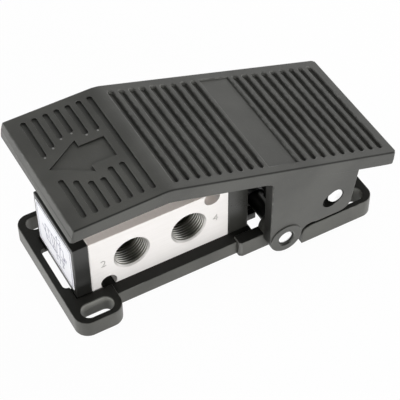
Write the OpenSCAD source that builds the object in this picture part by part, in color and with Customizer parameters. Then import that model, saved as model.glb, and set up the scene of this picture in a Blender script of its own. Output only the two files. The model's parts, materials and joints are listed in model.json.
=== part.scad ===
// Foot pedal air valve: a spool valve block on a cast base, worked by a hinged pedal.
// Millimetres, +Z up. The origin is the centre of the four base slots, on the floor.
// +X runs to the heel end, and -Y is the side with the two outlet ports.

/* [Base] */
// How far the base reaches beyond the toe end cap
toe_margin = 4.8; // [4.2:0.1:8]
// Distance from the hinge to the heel end of the base
heel_run = 38; // [36:0.1:44]
// How far the base stands out beyond the pedal's side
base_over = 0.1; // [0:0.05:1]
// Height of the toe lugs
lug_h = 7; // [6.2:0.1:10]
// Length of one toe lug along X
lug_len = 17.8; // [16:0.1:24]
// Height of the seat that carries the valve block
seat_h = 6; // [5:0.1:8]
// Width of the seat
seat_w = 40.4; // [36:0.2:44]
// Height of the frame at the heel end
rear_h = 7.8; // [7:0.1:9]
// Height of the base beside the hinge
hinge_wall_h = 7; // [6.5:0.1:8.5]
// How far the seat reaches beyond the actuator end cap
seat_over = 0.65; // [0.4:0.05:2]
// Corner radius of the base in plan
base_corner_r = 5; // [3:0.1:6]
// Distance of a slot's middle from the end of the base
slot_end = 9; // [8:0.1:10]
// Distance of a slot's middle from the side of the base
slot_side = 5.2; // [4.6:0.1:6]
// Slot length, end to end
slot_len = 12; // [8:0.1:14]
// Slot width, for 5 mm screws
slot_w = 6; // [4.5:0.1:6.5]
// Thickness of the base wall beside the hinge opening and the heel tray
hinge_wall_t = 4.5; // [4:0.1:8]
// How far the hinge opening reaches behind the hinge
open_run = 0.7; // [0:0.1:2]
// Thickness of a seat finger in the hinge opening
finger_t = 2.5; // [1.5:0.1:4]
// How far a seat finger ends before the hinge
finger_setback = 1.5; // [0.5:0.1:4]
// Thickness of the heel tray's floor
tray_t = 1.6; // [1.2:0.1:1.8]
// How much further the toe opening reaches to each side under the top of the base
toe_under = 4.5; // [2:0.1:6]
// Thickness of the base above that hollow
toe_top_t = 2.5; // [1.6:0.1:4]
// Thickness of the bar behind the heel tray
bay_bar = 5.5; // [4:0.1:8]
// Half width of the opening under the toe end cap
toe_gap_half = 10; // [6:0.1:12]
// Width of the toe end bar
toe_bar = 2.5; // [2:0.1:4]
// Depth of the pockets under the seat
pocket_depth = 3.5; // [2:0.1:4]
// Wall beside the pockets under the seat
pocket_wall = 5; // [4:0.1:8]
// Land between a pocket and the middle of a base screw
screw_land = 5.5; // [4.5:0.1:8]
// Land between a pocket and an opening
pocket_land = 2.5; // [2:0.1:4]
// How far the toe opening reaches under the end cap
toe_gap_under = 3.6; // [2:0.1:4]
// Corner radius of the toe opening
toe_gap_r = 1.5; // [1:0.1:2]
// How far the wider base reaches in front of the hinge
hinge_wall_run = 15.9; // [14:0.1:18]
// Radius of the frame's corner behind the boss
rear_corner_r = 3.7; // [2:0.1:4]

/* [Valve block] */
// Length of the valve block
body_len = 53.7; // [50:0.1:56]
// Width of the valve block
body_w = 31.1; // [28:0.1:34]
// Height of the valve block
body_h = 25; // [22:0.1:28]
// Distance between the two outlet ports
port_dx = 22.1; // [20:0.1:24]
// Distance of each exhaust port from the middle
exhaust_dx = 17; // [16.5:0.1:18]
// Thread drill of the quarter inch ports
port_d = 11.8; // [11:0.1:12.2]
// Rim of the quarter inch ports
port_rim_d = 13.9; // [13:0.1:15]
// Thread drill of the exhaust ports
exhaust_d = 8.8; // [8:0.1:9.4]
// Rim of the exhaust ports
exhaust_rim_d = 10.2; // [9.8:0.1:11]
// Depth of every port
port_depth = 8; // [6:0.1:8.3]
// Drill between a port and its chamber
gallery_d = 5; // [3:0.1:6]
// Diameter of the half open cross holes
cross_hole_d = 6.2; // [5:0.1:7]
// Cross hole distance from the block middle along X
cross_hole_dx = 20.3; // [19:0.1:22]
// Cross hole distance from the block middle along Z
cross_hole_dz = 10.3; // [10.2:0.1:12]
// Bore of the spool
spool_bore_d = 11; // [10:0.1:11.4]
// Diameter of a port chamber in the spool bore
chamber_d = 13.4; // [12.4:0.1:13.8]
// Width of a port chamber
chamber_w = 3.4; // [2.6:0.1:3.6]

/* [End caps] */
// Thickness of the spring end cap
spring_cap_t = 5.7; // [5:0.1:8]
// Thickness of the actuator end cap
act_cap_t = 8; // [6:0.1:9]
// Depth of the spring pocket in its cap
spring_pocket = 3.5; // [2:0.1:4]
// Thickness of a cap seal ring
cap_seal_t = 1.2; // [0.8:0.1:1.8]
// Outer diameter of a cap seal ring
cap_seal_d = 17.4; // [15.5:0.1:19]
// Distance of each cap screw from the middle
cap_screw_dy = 11.6; // [11:0.1:13]
// Shank diameter of a cap screw
cap_screw_d = 3; // [2.5:0.1:4]
// Head diameter of a cap screw
cap_head_d = 5.4; // [4.8:0.1:6]
// Head height of a cap screw
cap_head_h = 2; // [1.5:0.1:2.5]
// How far a cap screw goes into the block
cap_screw_grip = 4.8; // [3:0.1:5]
// Shank diameter of a screw from the base into the block
base_screw_d = 4; // [3:0.1:5]
// Head diameter of a screw from the base into the block
base_head_d = 7; // [6:0.1:8]
// Head height of a screw from the base into the block
base_head_h = 2.6; // [2:0.1:3]
// Distance of each base screw from the block middle
base_screw_dx = 13; // [11:0.1:15]
// How far a base screw goes into the block
base_screw_grip = 4.4; // [3:0.1:5]
// How far a base screw's head sits above the floor
base_head_inset = 0.6; // [0.3:0.1:1]
// How far a cap screw's head sits inside its cap
cap_head_inset = 0.3; // [0.1:0.1:0.6]

/* [Spool] */
// Spool travel when the pedal is down
spool_travel = 2.45; // [2:0.05:3]
// Diameter of the spool lands
spool_land_d = 10.4; // [9.6:0.1:10.6]
// Diameter of the spool between its lands
spool_neck_d = 6.4; // [5:0.1:7]
// Width of a spool land
spool_land_w = 3; // [2.6:0.1:3.2]
// Width of a seal ring on the spool
spool_seal_w = 1.6; // [1.2:0.1:2]
// Floor of the seal groove in a land
spool_groove_d = 7.8; // [7:0.1:9]
// Free width between an open seal and its chamber's edge
seal_open = 0.3; // [0.2:0.05:0.5]
// Diameter of the push rod
plunger_d = 6; // [5:0.1:7]
// Diameter of the return spring coil, over the wire
spool_spring_d = 7.6; // [7:0.1:8.4]
// Wire of the spool spring
spool_wire_d = 0.9; // [0.6:0.1:1.2]
// Turns of the spool spring
spool_turns = 5; // [4:1:6]
// Length of the nose that centres the spring on its cup
cup_nose = 1.5; // [1:0.1:2]
// Chamfer at the push rod's tip
plunger_chamfer = 0.6; // [0.3:0.1:1]
// Thickness of the cup between spring and spool
cup_t = 1.2; // [0.8:0.1:2]
// Outer diameter of the guide bush
bush_d = 9; // [8:0.1:10]
// Length of the guide bush
bush_len = 4.6; // [3:0.1:5]
// Outer diameter of the rod seal
rod_seal_d = 10; // [9:0.1:11]
// Thickness of the rod seal
rod_seal_t = 2; // [1.5:0.1:2.5]

/* [Pedal] */
// Width of the pedal
pedal_w = 55.2; // [54:0.2:60]
// How far the toe edge sits inside the end of the base
toe_inset = 1.4; // [0:0.1:4]
// How far the heel edge reaches beyond the end of the base
heel_over = 6.7; // [4:0.1:10]
// Length of the toe part along X
toe_len = 34.5; // [32:0.1:40]
// Height of the toe edge above the valve block
toe_rise = 24.6; // [24:0.1:28]
// Height of the bend above the toe edge
bend_rise = 0.6; // [0.2:0.1:2]
// Drop of the heel part from the bend to its end
heel_drop = 28.4; // [26:0.1:30]
// Radius of the bend
bend_r = 14; // [6:0.5:20]
// Depth of the edge all round
skirt_h = 5.5; // [5:0.1:7]
// Wall of the edge
skirt_t = 2.6; // [2:0.1:4]
// Thickness of the tread plate
plate_t = 3; // [2.6:0.1:4]
// Corner radius in plan
pedal_corner_r = 1.2; // [1:0.1:5]
// How far the toe face leans out at its lower edge
toe_lean = 1.2; // [0:0.1:2]
// How far the heel face leans in at its lower edge
heel_lean = 1; // [0:0.1:2]
// Width of a tread groove
groove_w = 2; // [1.4:0.1:2.4]
// Depth of a heel groove
groove_depth = 1.3; // [0.6:0.1:1.6]
// Distance from one heel groove to the next
groove_pitch = 4.22; // [4:0.02:4.4]
// Number of grooves on each side of the panel
groove_count = 9; // [6:1:9]
// Distance of the first groove from the bend
groove_start = 4.1; // [3.5:0.1:5]
// Distance of the last groove from the heel edge
groove_end = 4.7; // [4:0.1:6]
// Land between a groove's end and the pedal's side
groove_land = 3.6; // [3:0.1:6]
// Land between the panel and the middle of the next groove
panel_land = 2.9; // [2.5:0.1:4]
// Depth of the panel, of the arrow and of the toe slots
mark_depth = 0.8; // [0.4:0.1:1.2]
// Distance from one toe slot to the next
toe_pitch = 4.09; // [3.9:0.01:4.2]
// Distance of the full width toe slot from the bend
toe_start = 4.2; // [3.8:0.1:5]
// Number of short toe slots on each side
toe_count = 6; // [4:1:6]
// Distance of the arrow tip from the bend
arrow_tip = 29.8; // [28:0.1:31]
// Distance of the arrow wings from the bend
arrow_wing = 17; // [15:0.1:19]
// Distance of the arrow's end from the bend
arrow_end = 7.8; // [7:0.1:9]
// Half width over the arrow wings
arrow_wing_half = 8; // [6:0.1:9]
// Half width of the arrow shaft
arrow_shaft_half = 4.9; // [3:0.1:6]
// Land between the arrow and a toe slot
arrow_land = 4.5; // [3:0.1:6]
// How much wider that land is along the arrow's slant
arrow_slant = 1.35; // [1:0.05:1.5]
// How far the ribs stay above the lower edge
rib_rise = 0.8; // [0.4:0.1:2]

/* [Hinge] */
// Distance of the hinge from the actuator end cap
hinge_run = 8.8; // [8.4:0.1:10]
// Z of the hinge
hinge_z = 6.6; // [6.5:0.05:7]
// Radius of the hinge boss on each ear
boss_r = 6.3; // [5:0.1:6.4]
// How far the boss stands out of the ear
boss_proud = 0.5; // [0.2:0.1:0.6]
// Depth of the web between boss and ear below the hinge line
boss_web = 1; // [0.5:0.1:1.5]
// Thickness of an ear
ear_t = 4.6; // [3.5:0.1:5]
// How far an ear sits inside the pedal's side
ear_inset = 0.2; // [0.1:0.05:0.5]
// Distance of the ear's rear edge from the hinge at its top
ear_top_run = 29.5; // [28:0.1:31]
// Distance of the ear's rear edge from the hinge at its foot
ear_foot_run = 27.5; // [25:0.1:28]
// Corner radius at the ear's foot
ear_foot_r = 5; // [3:0.1:7]
// Fillet in the window corner in front of the ear
ear_fillet_r = 2; // [1:0.1:3]
// Diameter of the hinge pin
hinge_pin_d = 6; // [5:0.1:6.4]
// Radius of the hinge lugs on the base
base_lug_r = 6.1; // [5:0.1:6.3]
// Thickness of a hinge lug on the base
base_lug_t = 4.5; // [3:0.1:5]
// Distance of the cross pin from the hinge along X
cross_dx = 20.3; // [19:0.1:21]
// Height of the cross pin above the hinge
cross_dz = 11; // [10:0.1:12]
// Diameter of the cross pin
cross_pin_d = 6.2; // [5:0.1:6.6]
// Length of the slot beyond the cross pin
cross_slot = 2.6; // [1:0.1:3]
// How far the hinge pin's ends sit inside the bosses
pin_setback = 0.8; // [0.3:0.1:2]
// How far the cross pin's ends sit inside the ears
cross_setback = 0.2; // [0.1:0.1:2]
// Distance of the striker roller from the hinge along X
roller_dx = 0.5; // [0:0.1:1]
// Diameter of the striker roller
roller_d = 7; // [6:0.1:8]
// Length of the striker roller
roller_len = 9; // [6:0.1:10]
// Diameter of the roller pin
roller_pin_d = 3; // [2.5:0.1:4]
// Half width of a roller bracket, and the radius of its foot
bracket_r = 3.2; // [2.6:0.1:3.4]
// Thickness of a rib or roller bracket
rib_t = 3; // [2:0.1:4]
// Radius of the hinge spring coil to the middle of its wire
coil_r = 3.95; // [3.9:0.05:4]
// Wire of the hinge spring
coil_wire_d = 1.2; // [1:0.1:1.2]
// Turns of the coil on the base side
coil_turns = 3; // [2:1:4]
// Distance of the coil's inner end from the middle
coil_y = 3; // [2.6:0.1:4]
// Slope of the short spring leg
short_leg_a = 20; // [10:0.5:24]
// How far the long spring leg runs past the cross pin
long_leg_over = 3; // [1:0.1:5]

/* [Fits] */
// Gap between the ears and the base
side_gap = 0.3; // [0.2:0.05:0.5]
// Gap between the ears and the frame they come to rest on
rest_gap = 0.3; // [0.2:0.05:0.5]
// Gap between a boss and the frame behind it
boss_gap = 0.5; // [0.4:0.05:0.8]
// Gap between an ear and the round corner of the frame behind its boss
corner_gap = 0.8; // [0.3:0.05:1]
// Gap between a seat finger and the hinge spring or the hinge pin
finger_gap = 0.5; // [0.3:0.05:1]
// Radial clearance of a turning or sliding fit
run_gap = 0.05; // [0.02:0.01:0.09]
// Radial clearance of a piece that is held still
hold_gap = 0.02; // [0:0.01:0.04]
// Gap between the plunger and the striker roller
strike_gap = 0.3; // [0.2:0.05:0.5]
// Gap between the valve block and the base beside it
block_gap = 0.35; // [0.2:0.05:0.6]
// Gap between the striker roller and its brackets
roller_side_gap = 0.5; // [0.2:0.05:0.8]
// Added to a hole's diameter for a screw to pass
screw_ease = 0.2; // [0.1:0.05:0.5]
// Added to a pocket's diameter for a spring or a rod to pass
spring_ease = 0.8; // [0.4:0.1:1]
// Space left at a screw's tip
tip_gap = 0.2; // [0.1:0.1:0.5]

/* [Hidden] */
$fn = 48;
eps = 0.01;
over = 1;
black = [0.09, 0.09, 0.09];
charcoal = [0.16, 0.16, 0.16];
alloy = [0.93, 0.92, 0.9];
steel = [0.75, 0.76, 0.78];
brass = [0.78, 0.6, 0.3];
rubber = [0.05, 0.05, 0.05];

// Base
base_half = (toe_margin + spring_cap_t + body_len + act_cap_t + hinge_run + heel_run) / 2;
base_side = pedal_w / 2 + base_over;
slot_x = base_half - slot_end;
slot_y = base_side - slot_side;
seat_side = seat_w / 2;
block_side = body_w / 2 + block_gap;
ear_out = pedal_w / 2 - ear_inset;
ear_in = ear_out - ear_t;
hinge_side = ear_in - side_gap;
bay_half = hinge_side - hinge_wall_t;
hinge_x = base_half - heel_run;
hinge_wall_x = hinge_x - hinge_wall_run;
rear_x = hinge_x + boss_r + boss_gap;

// Valve block
cap_x0 = -base_half + toe_margin;
block_x0 = cap_x0 + spring_cap_t;
block_x1 = block_x0 + body_len;
cap_x1 = block_x1 + act_cap_t;
valve_x = block_x0 + body_len / 2;
axis_z = seat_h + body_h / 2;
seat_x0 = cap_x0 - block_gap;
seat_x1 = cap_x1 + seat_over;
open_x1 = hinge_x + open_run;
toe_open_x0 = -base_half + toe_bar;
toe_open_x1 = cap_x0 + toe_gap_under;

// Spool seals, measured from the block middle with the pedal up, when supply feeds the toe side outlet
seal_half = spool_seal_w / 2;
seal_mid = (port_dx / 2 + exhaust_dx) / 2;
seal_feed = chamber_w / 2 - seal_half - seal_open;
seal_end = exhaust_dx + chamber_w / 2 + spool_travel + seal_half;
seal_at = [-seal_end + spool_travel, -seal_mid, -seal_feed, seal_feed + spool_travel,
           seal_mid + spool_travel, seal_end];
spool_x0 = valve_x + seal_at[0] - spool_land_w / 2;
spool_x1 = valve_x + seal_at[5] + spool_land_w / 2;
roller_x = hinge_x + roller_dx;
plunger_x1 = roller_x - roller_d / 2 - strike_gap;
spring_x0 = block_x0 - spring_pocket;
spring_x1 = spool_x0 - cup_t;

// Pedal
toe_x = -base_half + toe_inset;
toe_z = seat_h + body_h + toe_rise;
bend_x = toe_x + toe_len;
bend_z = toe_z + bend_rise;
heel_x = base_half + heel_over;
heel_z = bend_z - heel_drop;
toe_a = atan2(bend_z - toe_z, bend_x - toe_x);
heel_a = atan2(bend_z - heel_z, heel_x - bend_x);
bend_run = bend_r * tan((toe_a + heel_a) / 2);
pedal_side = pedal_w / 2;
heel_len = (heel_x - bend_x) / cos(heel_a);
tread_half = pedal_side - groove_land;
groove_run = (groove_count - 1) * groove_pitch;
rear_start = heel_len - groove_end - groove_run;
panel_start = groove_start + groove_run + panel_land;
panel_end = rear_start - panel_land;
ear_x0 = hinge_x - boss_r;
ear_foot_z = rear_h + rest_gap;
bury = (plate_t + groove_depth) / 2;
rib_in = roller_len / 2 + roller_side_gap;
rib_out = rib_in + rib_t;
cross_pin_x = hinge_x + cross_dx;
cross_pin_z = hinge_z + cross_dz;
ear_rear_top = hinge_x + ear_top_run;
ear_rear_foot = hinge_x + ear_foot_run;
cross_a = atan2(cross_dz, cross_dx);
cross_r = sqrt(cross_dx * cross_dx + cross_dz * cross_dz);
leg_d = coil_wire_d * 0.8;
arm_reach = (cross_pin_d + leg_d) / 2;
arm_a = cross_a - asin((coil_r - arm_reach) / cross_r);
coil_pitch = coil_wire_d * 0.92;
finger_in = coil_y + (coil_turns - 0.5) * coil_wire_d + finger_gap;
finger_h = hinge_z - hinge_pin_d / 2 - finger_gap;
leg_x = hinge_x - coil_r * sin(short_leg_a) - leg_d / 2 * sin(short_leg_a);
short_leg = (leg_x - cap_x1 - side_gap) / cos(short_leg_a);

// Height of the pedal's top, or of a line that lies a depth below it
function toe_line(x, depth) = bend_z + (x - bend_x) * tan(toe_a) - depth / cos(toe_a);
function heel_line(x, depth) = bend_z - (x - bend_x) * tan(heel_a) - depth / cos(heel_a);
function bend_at(depth) = bend_x + depth * (1 / cos(toe_a) - 1 / cos(heel_a)) / (tan(toe_a) + tan(heel_a));
// Inner end of a toe slot, clear of the arrow, at a distance from the bend
function toe_slot_end(s) =
  s > arrow_wing ? arrow_wing_half * (arrow_tip - s) / (arrow_tip - arrow_wing) + arrow_land * arrow_slant
  : s > arrow_wing - arrow_land ? arrow_wing_half + sqrt(pow(arrow_land, 2) - pow(arrow_wing - s, 2))
  : arrow_shaft_half + arrow_land;

// Repeats its child on the other side of the middle plane
module both_sides() {
  children();
  mirror([0, 1, 0]) children();
}

// Stands a side profile, drawn in X and Z, up between two values of Y
module side_prism(y0, y1) {
  translate([0, y1, 0]) rotate([90, 0, 0]) linear_extrude(y1 - y0) children();
}

// Round bar along X on the spool axis
module bar_x(x0, x1, d) {
  translate([x0, 0, axis_z]) rotate([0, 90, 0]) cylinder(h = x1 - x0, d = d);
}

// Round bar along Y
module bar_y(x, z, y0, y1, d) {
  translate([x, y0, z]) rotate([-90, 0, 0]) cylinder(h = y1 - y0, d = d);
}

// Slot with round ends, drawn flat, along X or along Y
module slot_2d(length, width) {
  square([length - width, width], center = true);
  translate([(length - width) / 2, 0]) circle(d = width);
  translate([-(length - width) / 2, 0]) circle(d = width);
}

// Rectangle with round corners, drawn flat between two corners
module round_rect(x0, x1, y0, y1, r) {
  translate([x0 + r, y0]) square([x1 - x0 - 2 * r, y1 - y0]);
  translate([x0, y0 + r]) square([x1 - x0, y1 - y0 - 2 * r]);
  for (x = [x0 + r, x1 - r], y = [y0 + r, y1 - r]) translate([x, y]) circle(r = r);
}

// Plan of one toe lug, round on its outer side
module toe_lug_2d() {
  x0 = -base_half;
  x1 = x0 + lug_len;
  translate([x0, block_side]) square([lug_len, base_side - base_corner_r - block_side]);
  translate([x0 + base_corner_r, block_side]) square([lug_len - 2 * base_corner_r, base_side - block_side]);
  for (x = [x0 + base_corner_r, x1 - base_corner_r]) {
    translate([x, base_side - base_corner_r]) circle(r = base_corner_r);
  }
}

// Side view of the heel frame, with its round corner behind the boss
module rear_profile() {
  translate([rear_x + rear_corner_r, 0]) square([base_half - rear_x - rear_corner_r, rear_h]);
  translate([rear_x, 0]) square([base_half - rear_x, rear_h - rear_corner_r]);
  translate([rear_x + rear_corner_r, rear_h - rear_corner_r]) circle(r = rear_corner_r);
}

// Heel frame: two side walls, a tray between them with a bar behind it, round corners
module rear_frame() {
  intersection() {
    linear_extrude(rear_h) {
      round_rect(rear_x - base_corner_r, base_half, -base_side, base_side, base_corner_r);
    }
    side_prism(-base_side, base_side) rear_profile();
  }
}

// Everything the base is made of, before holes
module base_blank() {
  both_sides() linear_extrude(lug_h) toe_lug_2d();
  translate([-base_half, -block_side - eps, 0]) {
    cube([seat_x0 + base_half, 2 * (block_side + eps), lug_h]);
  }
  translate([seat_x0 - eps, -seat_side, 0]) cube([seat_x1 - seat_x0 + eps, seat_w, seat_h]);
  translate([hinge_wall_x, -bay_half - eps, 0]) cube([seat_x1 - hinge_wall_x, 2 * (bay_half + eps), seat_h]);
  both_sides() translate([hinge_wall_x, bay_half, 0]) {
    cube([rear_x + rear_corner_r - hinge_wall_x, hinge_side - bay_half, hinge_wall_h]);
  }
  both_sides() bar_y(hinge_x, hinge_z, hinge_side - base_lug_t, hinge_side, 2 * base_lug_r);
  translate([open_x1, -bay_half - eps, 0]) cube([rear_x + base_corner_r - open_x1, 2 * (bay_half + eps), tray_t]);
  rear_frame();
}

// Pocket under the seat
module seat_pocket(x0, x1) {
  half = seat_side - pocket_wall;
  translate([x0, -half, -over]) cube([x1 - x0, 2 * half, pocket_depth + over]);
}

// Bridge under the hinge spring, from the seat to the heel tray, with a finger of the seat on each side
module hinge_bridge() {
  translate([seat_x1 - over, -finger_in - eps, 0]) {
    cube([open_x1 - seat_x1 + 2 * over, 2 * (finger_in + eps), tray_t]);
  }
  both_sides() translate([seat_x1 - over, finger_in, 0]) {
    cube([hinge_x - finger_setback - seat_x1 + over, finger_t, finger_h]);
  }
}

// Base casting without its bridge
module base_casting() {
  difference() {
    base_blank();
    for (x = [-1, 1], y = [-1, 1]) {
      translate([x * slot_x, y * slot_y, -over]) {
        linear_extrude(rear_h + 2 * over) slot_2d(slot_len, slot_w);
      }
    }
    translate([0, 0, -over]) linear_extrude(lug_h + 2 * over) {
      round_rect(toe_open_x0, toe_open_x1, -toe_gap_half, toe_gap_half, toe_gap_r);
    }
    translate([0, 0, -over]) linear_extrude(lug_h - toe_top_t + over) {
      round_rect(toe_open_x0, toe_open_x1, -toe_gap_half - toe_under, toe_gap_half + toe_under, toe_gap_r);
    }
    translate([seat_x1, -bay_half, -over]) cube([open_x1 - seat_x1, 2 * bay_half, rear_h + 2 * over]);
    translate([seat_x1, -bay_half, tray_t]) {
      cube([base_half - bay_bar - seat_x1, 2 * bay_half, rear_h + over]);
    }
    bar_y(hinge_x, hinge_z, -base_side, base_side, hinge_pin_d + 2 * hold_gap);
    seat_pocket(toe_open_x1 + pocket_land, valve_x - base_screw_dx - screw_land);
    seat_pocket(valve_x - base_screw_dx + screw_land, valve_x + base_screw_dx - screw_land);
    seat_pocket(valve_x + base_screw_dx + screw_land, seat_x1 - pocket_land);
    for (s = [-1, 1]) translate([valve_x + s * base_screw_dx, 0, 0]) {
      translate([0, 0, -over]) cylinder(h = seat_h + 2 * over, d = base_screw_d + screw_ease);
      translate([0, 0, -over]) {
        cylinder(h = over + base_head_inset + base_head_h, d = base_head_d + 2 * screw_ease);
      }
    }
  }
}

module base() {
  color(black) {
    base_casting();
    hinge_bridge();
  }
}

// Port along Y: rim chamfer, thread drill and gallery to the spool bore
module port(x, side, drill, rim) {
  translate([valve_x + x, side * body_w / 2, axis_z]) rotate([side * 90, 0, 0]) {
    translate([0, 0, -eps]) cylinder(h = port_depth + eps, d = drill);
    translate([0, 0, -eps]) cylinder(h = (rim - drill) / 2, d1 = rim + 2 * eps, d2 = drill);
    cylinder(h = body_w / 2, d = gallery_d);
  }
}

module valve_body() {
  color(alloy) difference() {
    translate([block_x0, -body_w / 2, seat_h]) cube([body_len, body_w, body_h]);
    bar_x(block_x0 - over, block_x1 + over, spool_bore_d);
    for (x = [-exhaust_dx, -port_dx / 2, 0, port_dx / 2, exhaust_dx]) {
      bar_x(valve_x + x - chamber_w / 2, valve_x + x + chamber_w / 2, chamber_d);
    }
    port(-port_dx / 2, -1, port_d, port_rim_d);
    port(port_dx / 2, -1, port_d, port_rim_d);
    port(0, 1, port_d, port_rim_d);
    port(-exhaust_dx, 1, exhaust_d, exhaust_rim_d);
    port(exhaust_dx, 1, exhaust_d, exhaust_rim_d);
    for (s = [-1, 1]) {
      bar_y(valve_x + s * cross_hole_dx, axis_z + s * cross_hole_dz, -body_w, body_w, cross_hole_d);
      translate([0, s * cap_screw_dy, 0]) {
        bar_x(block_x0 - over, block_x0 + cap_screw_grip + tip_gap, cap_screw_d + 2 * hold_gap);
        bar_x(block_x1 - cap_screw_grip - tip_gap, block_x1 + over, cap_screw_d + 2 * hold_gap);
      }
      translate([valve_x + s * base_screw_dx, 0, seat_h - over]) {
        cylinder(h = over + base_screw_grip + tip_gap, d = base_screw_d + 2 * hold_gap);
      }
    }
  }
}

module spring_end_cap() {
  color(black) difference() {
    translate([cap_x0, -body_w / 2, seat_h]) cube([spring_cap_t, body_w, body_h]);
    bar_x(spring_x0, block_x0 + over, spool_spring_d + spring_ease);
    bar_x(block_x0 - cap_seal_t, block_x0 + over, cap_seal_d + 2 * hold_gap);
    for (s = [-1, 1]) translate([0, s * cap_screw_dy, 0]) {
      bar_x(cap_x0 - over, block_x0 + over, cap_screw_d + screw_ease);
      bar_x(cap_x0 - over, cap_x0 + cap_head_h + cap_head_inset, cap_head_d + screw_ease);
    }
  }
}

module actuator_end_cap() {
  color(charcoal) difference() {
    translate([block_x1, -body_w / 2, seat_h]) cube([act_cap_t, body_w, body_h]);
    bar_x(block_x1 - over, cap_x1 + over, plunger_d + spring_ease);
    bar_x(cap_x1 - rod_seal_t, cap_x1 + over, rod_seal_d + 2 * hold_gap);
    bar_x(block_x1 - over, block_x1 + bush_len, bush_d + 2 * hold_gap);
    bar_x(block_x1 - over, block_x1 + cap_seal_t, cap_seal_d + 2 * hold_gap);
    for (s = [-1, 1]) translate([0, s * cap_screw_dy, 0]) {
      bar_x(block_x1 - over, cap_x1 + over, cap_screw_d + screw_ease);
      bar_x(cap_x1 - cap_head_h - cap_head_inset, cap_x1 + over, cap_head_d + screw_ease);
    }
  }
}

// Flat ring along X
module ring_x(x0, x1, d_in, d_out) {
  difference() {
    bar_x(x0, x1, d_out);
    bar_x(x0 - over, x1 + over, d_in);
  }
}

module spring_cap_seal() {
  color(rubber) ring_x(block_x0 - cap_seal_t, block_x0, chamber_d, cap_seal_d);
}

module actuator_cap_seal() {
  color(rubber) ring_x(block_x1, block_x1 + cap_seal_t, chamber_d, cap_seal_d);
}

// Cap screw with a plain round head, pointing along +X from its head's outer face
module cap_screw(length) {
  rotate([0, 90, 0]) {
    cylinder(h = cap_head_h, d = cap_head_d);
    cylinder(h = length, d = cap_screw_d);
  }
}

module spring_cap_screws() {
  length = spring_cap_t - cap_head_inset + cap_screw_grip;
  color(steel) for (s = [-1, 1]) translate([cap_x0 + cap_head_inset, s * cap_screw_dy, axis_z]) {
    cap_screw(length);
  }
}

module actuator_cap_screws() {
  length = act_cap_t - cap_head_inset + cap_screw_grip;
  color(steel) for (s = [-1, 1]) translate([cap_x1 - cap_head_inset, s * cap_screw_dy, axis_z]) {
    mirror([1, 0, 0]) cap_screw(length);
  }
}

module body_screws() {
  color(steel) for (s = [-1, 1]) translate([valve_x + s * base_screw_dx, 0, base_head_inset]) {
    cylinder(h = base_head_h, d = base_head_d);
    cylinder(h = seat_h - base_head_inset + base_screw_grip, d = base_screw_d);
  }
}

module spool() {
  color(alloy) difference() {
    union() {
      bar_x(spool_x0, spool_x1, spool_neck_d);
      for (x = seal_at) {
        bar_x(valve_x + x - spool_land_w / 2, valve_x + x + spool_land_w / 2, spool_land_d);
      }
    }
    for (x = seal_at) {
      half = seal_half + hold_gap;
      ring_x(valve_x + x - half, valve_x + x + half, spool_groove_d, chamber_d);
    }
  }
}

module spool_seals() {
  d_in = spool_groove_d + 2 * hold_gap;
  d_out = spool_bore_d - 2 * run_gap;
  color(rubber) for (x = seal_at) {
    ring_x(valve_x + x - seal_half, valve_x + x + seal_half, d_in, d_out);
  }
}

// Coil of round turns, joined by a bar so that it is one piece
module spool_spring() {
  turn_r = (spool_spring_d - spool_wire_d) / 2;
  pitch = (spring_x1 - spring_x0 - spool_wire_d) / (spool_turns - 1);
  color(steel) {
    for (i = [0 : spool_turns - 1]) {
      translate([spring_x0 + spool_wire_d / 2 + i * pitch, 0, axis_z]) rotate([0, 90, 0]) {
        rotate_extrude($fn = 24) translate([turn_r, 0]) circle(d = spool_wire_d, $fn = 13);
      }
    }
    translate([spring_x0 + spool_wire_d / 2, 0, axis_z + turn_r]) rotate([0, 90, 0]) {
      cylinder(h = spring_x1 - spring_x0 - spool_wire_d, d = spool_wire_d * 0.8, $fn = 13);
    }
  }
}

module spring_cup() {
  nose_d = spool_spring_d - 2 * spool_wire_d - spring_ease;
  color(brass) {
    bar_x(spring_x1, spool_x0, spool_spring_d);
    bar_x(spring_x1 - cup_nose, spring_x1 + eps, nose_d);
  }
}

module plunger() {
  color(steel) difference() {
    bar_x(spool_x1, plunger_x1, plunger_d);
    translate([plunger_x1, 0, axis_z]) rotate([0, 90, 0]) rotate_extrude() {
      polygon([[plunger_d / 2 - plunger_chamfer, over], [plunger_d / 2 - plunger_chamfer, 0],
               [plunger_d / 2, -plunger_chamfer], [plunger_d / 2 + over, -plunger_chamfer],
               [plunger_d / 2 + over, over]]);
    }
  }
}

module plunger_bush() {
  color(brass) ring_x(block_x1, block_x1 + bush_len, plunger_d + 2 * run_gap, bush_d);
}

module plunger_seal() {
  color(rubber) ring_x(cap_x1 - rod_seal_t, cap_x1, plunger_d + 2 * run_gap, rod_seal_d);
}

// Side view of the pedal plate between its top and a line a depth below it
module plate_profile(depth) {
  arc = [for (i = [0 : 6]) toe_a - (toe_a + heel_a) * i / 6];
  cx = bend_x - bend_run * cos(toe_a) + bend_r * sin(toe_a);
  cz = bend_z - bend_run * sin(toe_a) - bend_r * cos(toe_a);
  polygon(concat([[toe_x - toe_lean * depth / skirt_h, toe_line(toe_x, depth)], [toe_x, toe_z]],
                 [for (a = arc) [cx - bend_r * sin(a), cz + bend_r * cos(a)]],
                 [[heel_x, heel_z], [heel_x - heel_lean * depth / skirt_h, heel_line(heel_x, depth)],
                  [bend_at(depth), toe_line(bend_at(depth), depth)]]));
}

// Side view of a band that follows the pedal's top between two depths
module band(x0, x1, upper, lower) {
  upper_x = bend_at(upper);
  lower_x = bend_at(lower);
  polygon([[x0, toe_line(x0, upper)], [upper_x, toe_line(upper_x, upper)], [x1, heel_line(x1, upper)],
           [x1, heel_line(x1, lower)], [lower_x, toe_line(lower_x, lower)], [x0, toe_line(x0, lower)]]);
}

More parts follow.
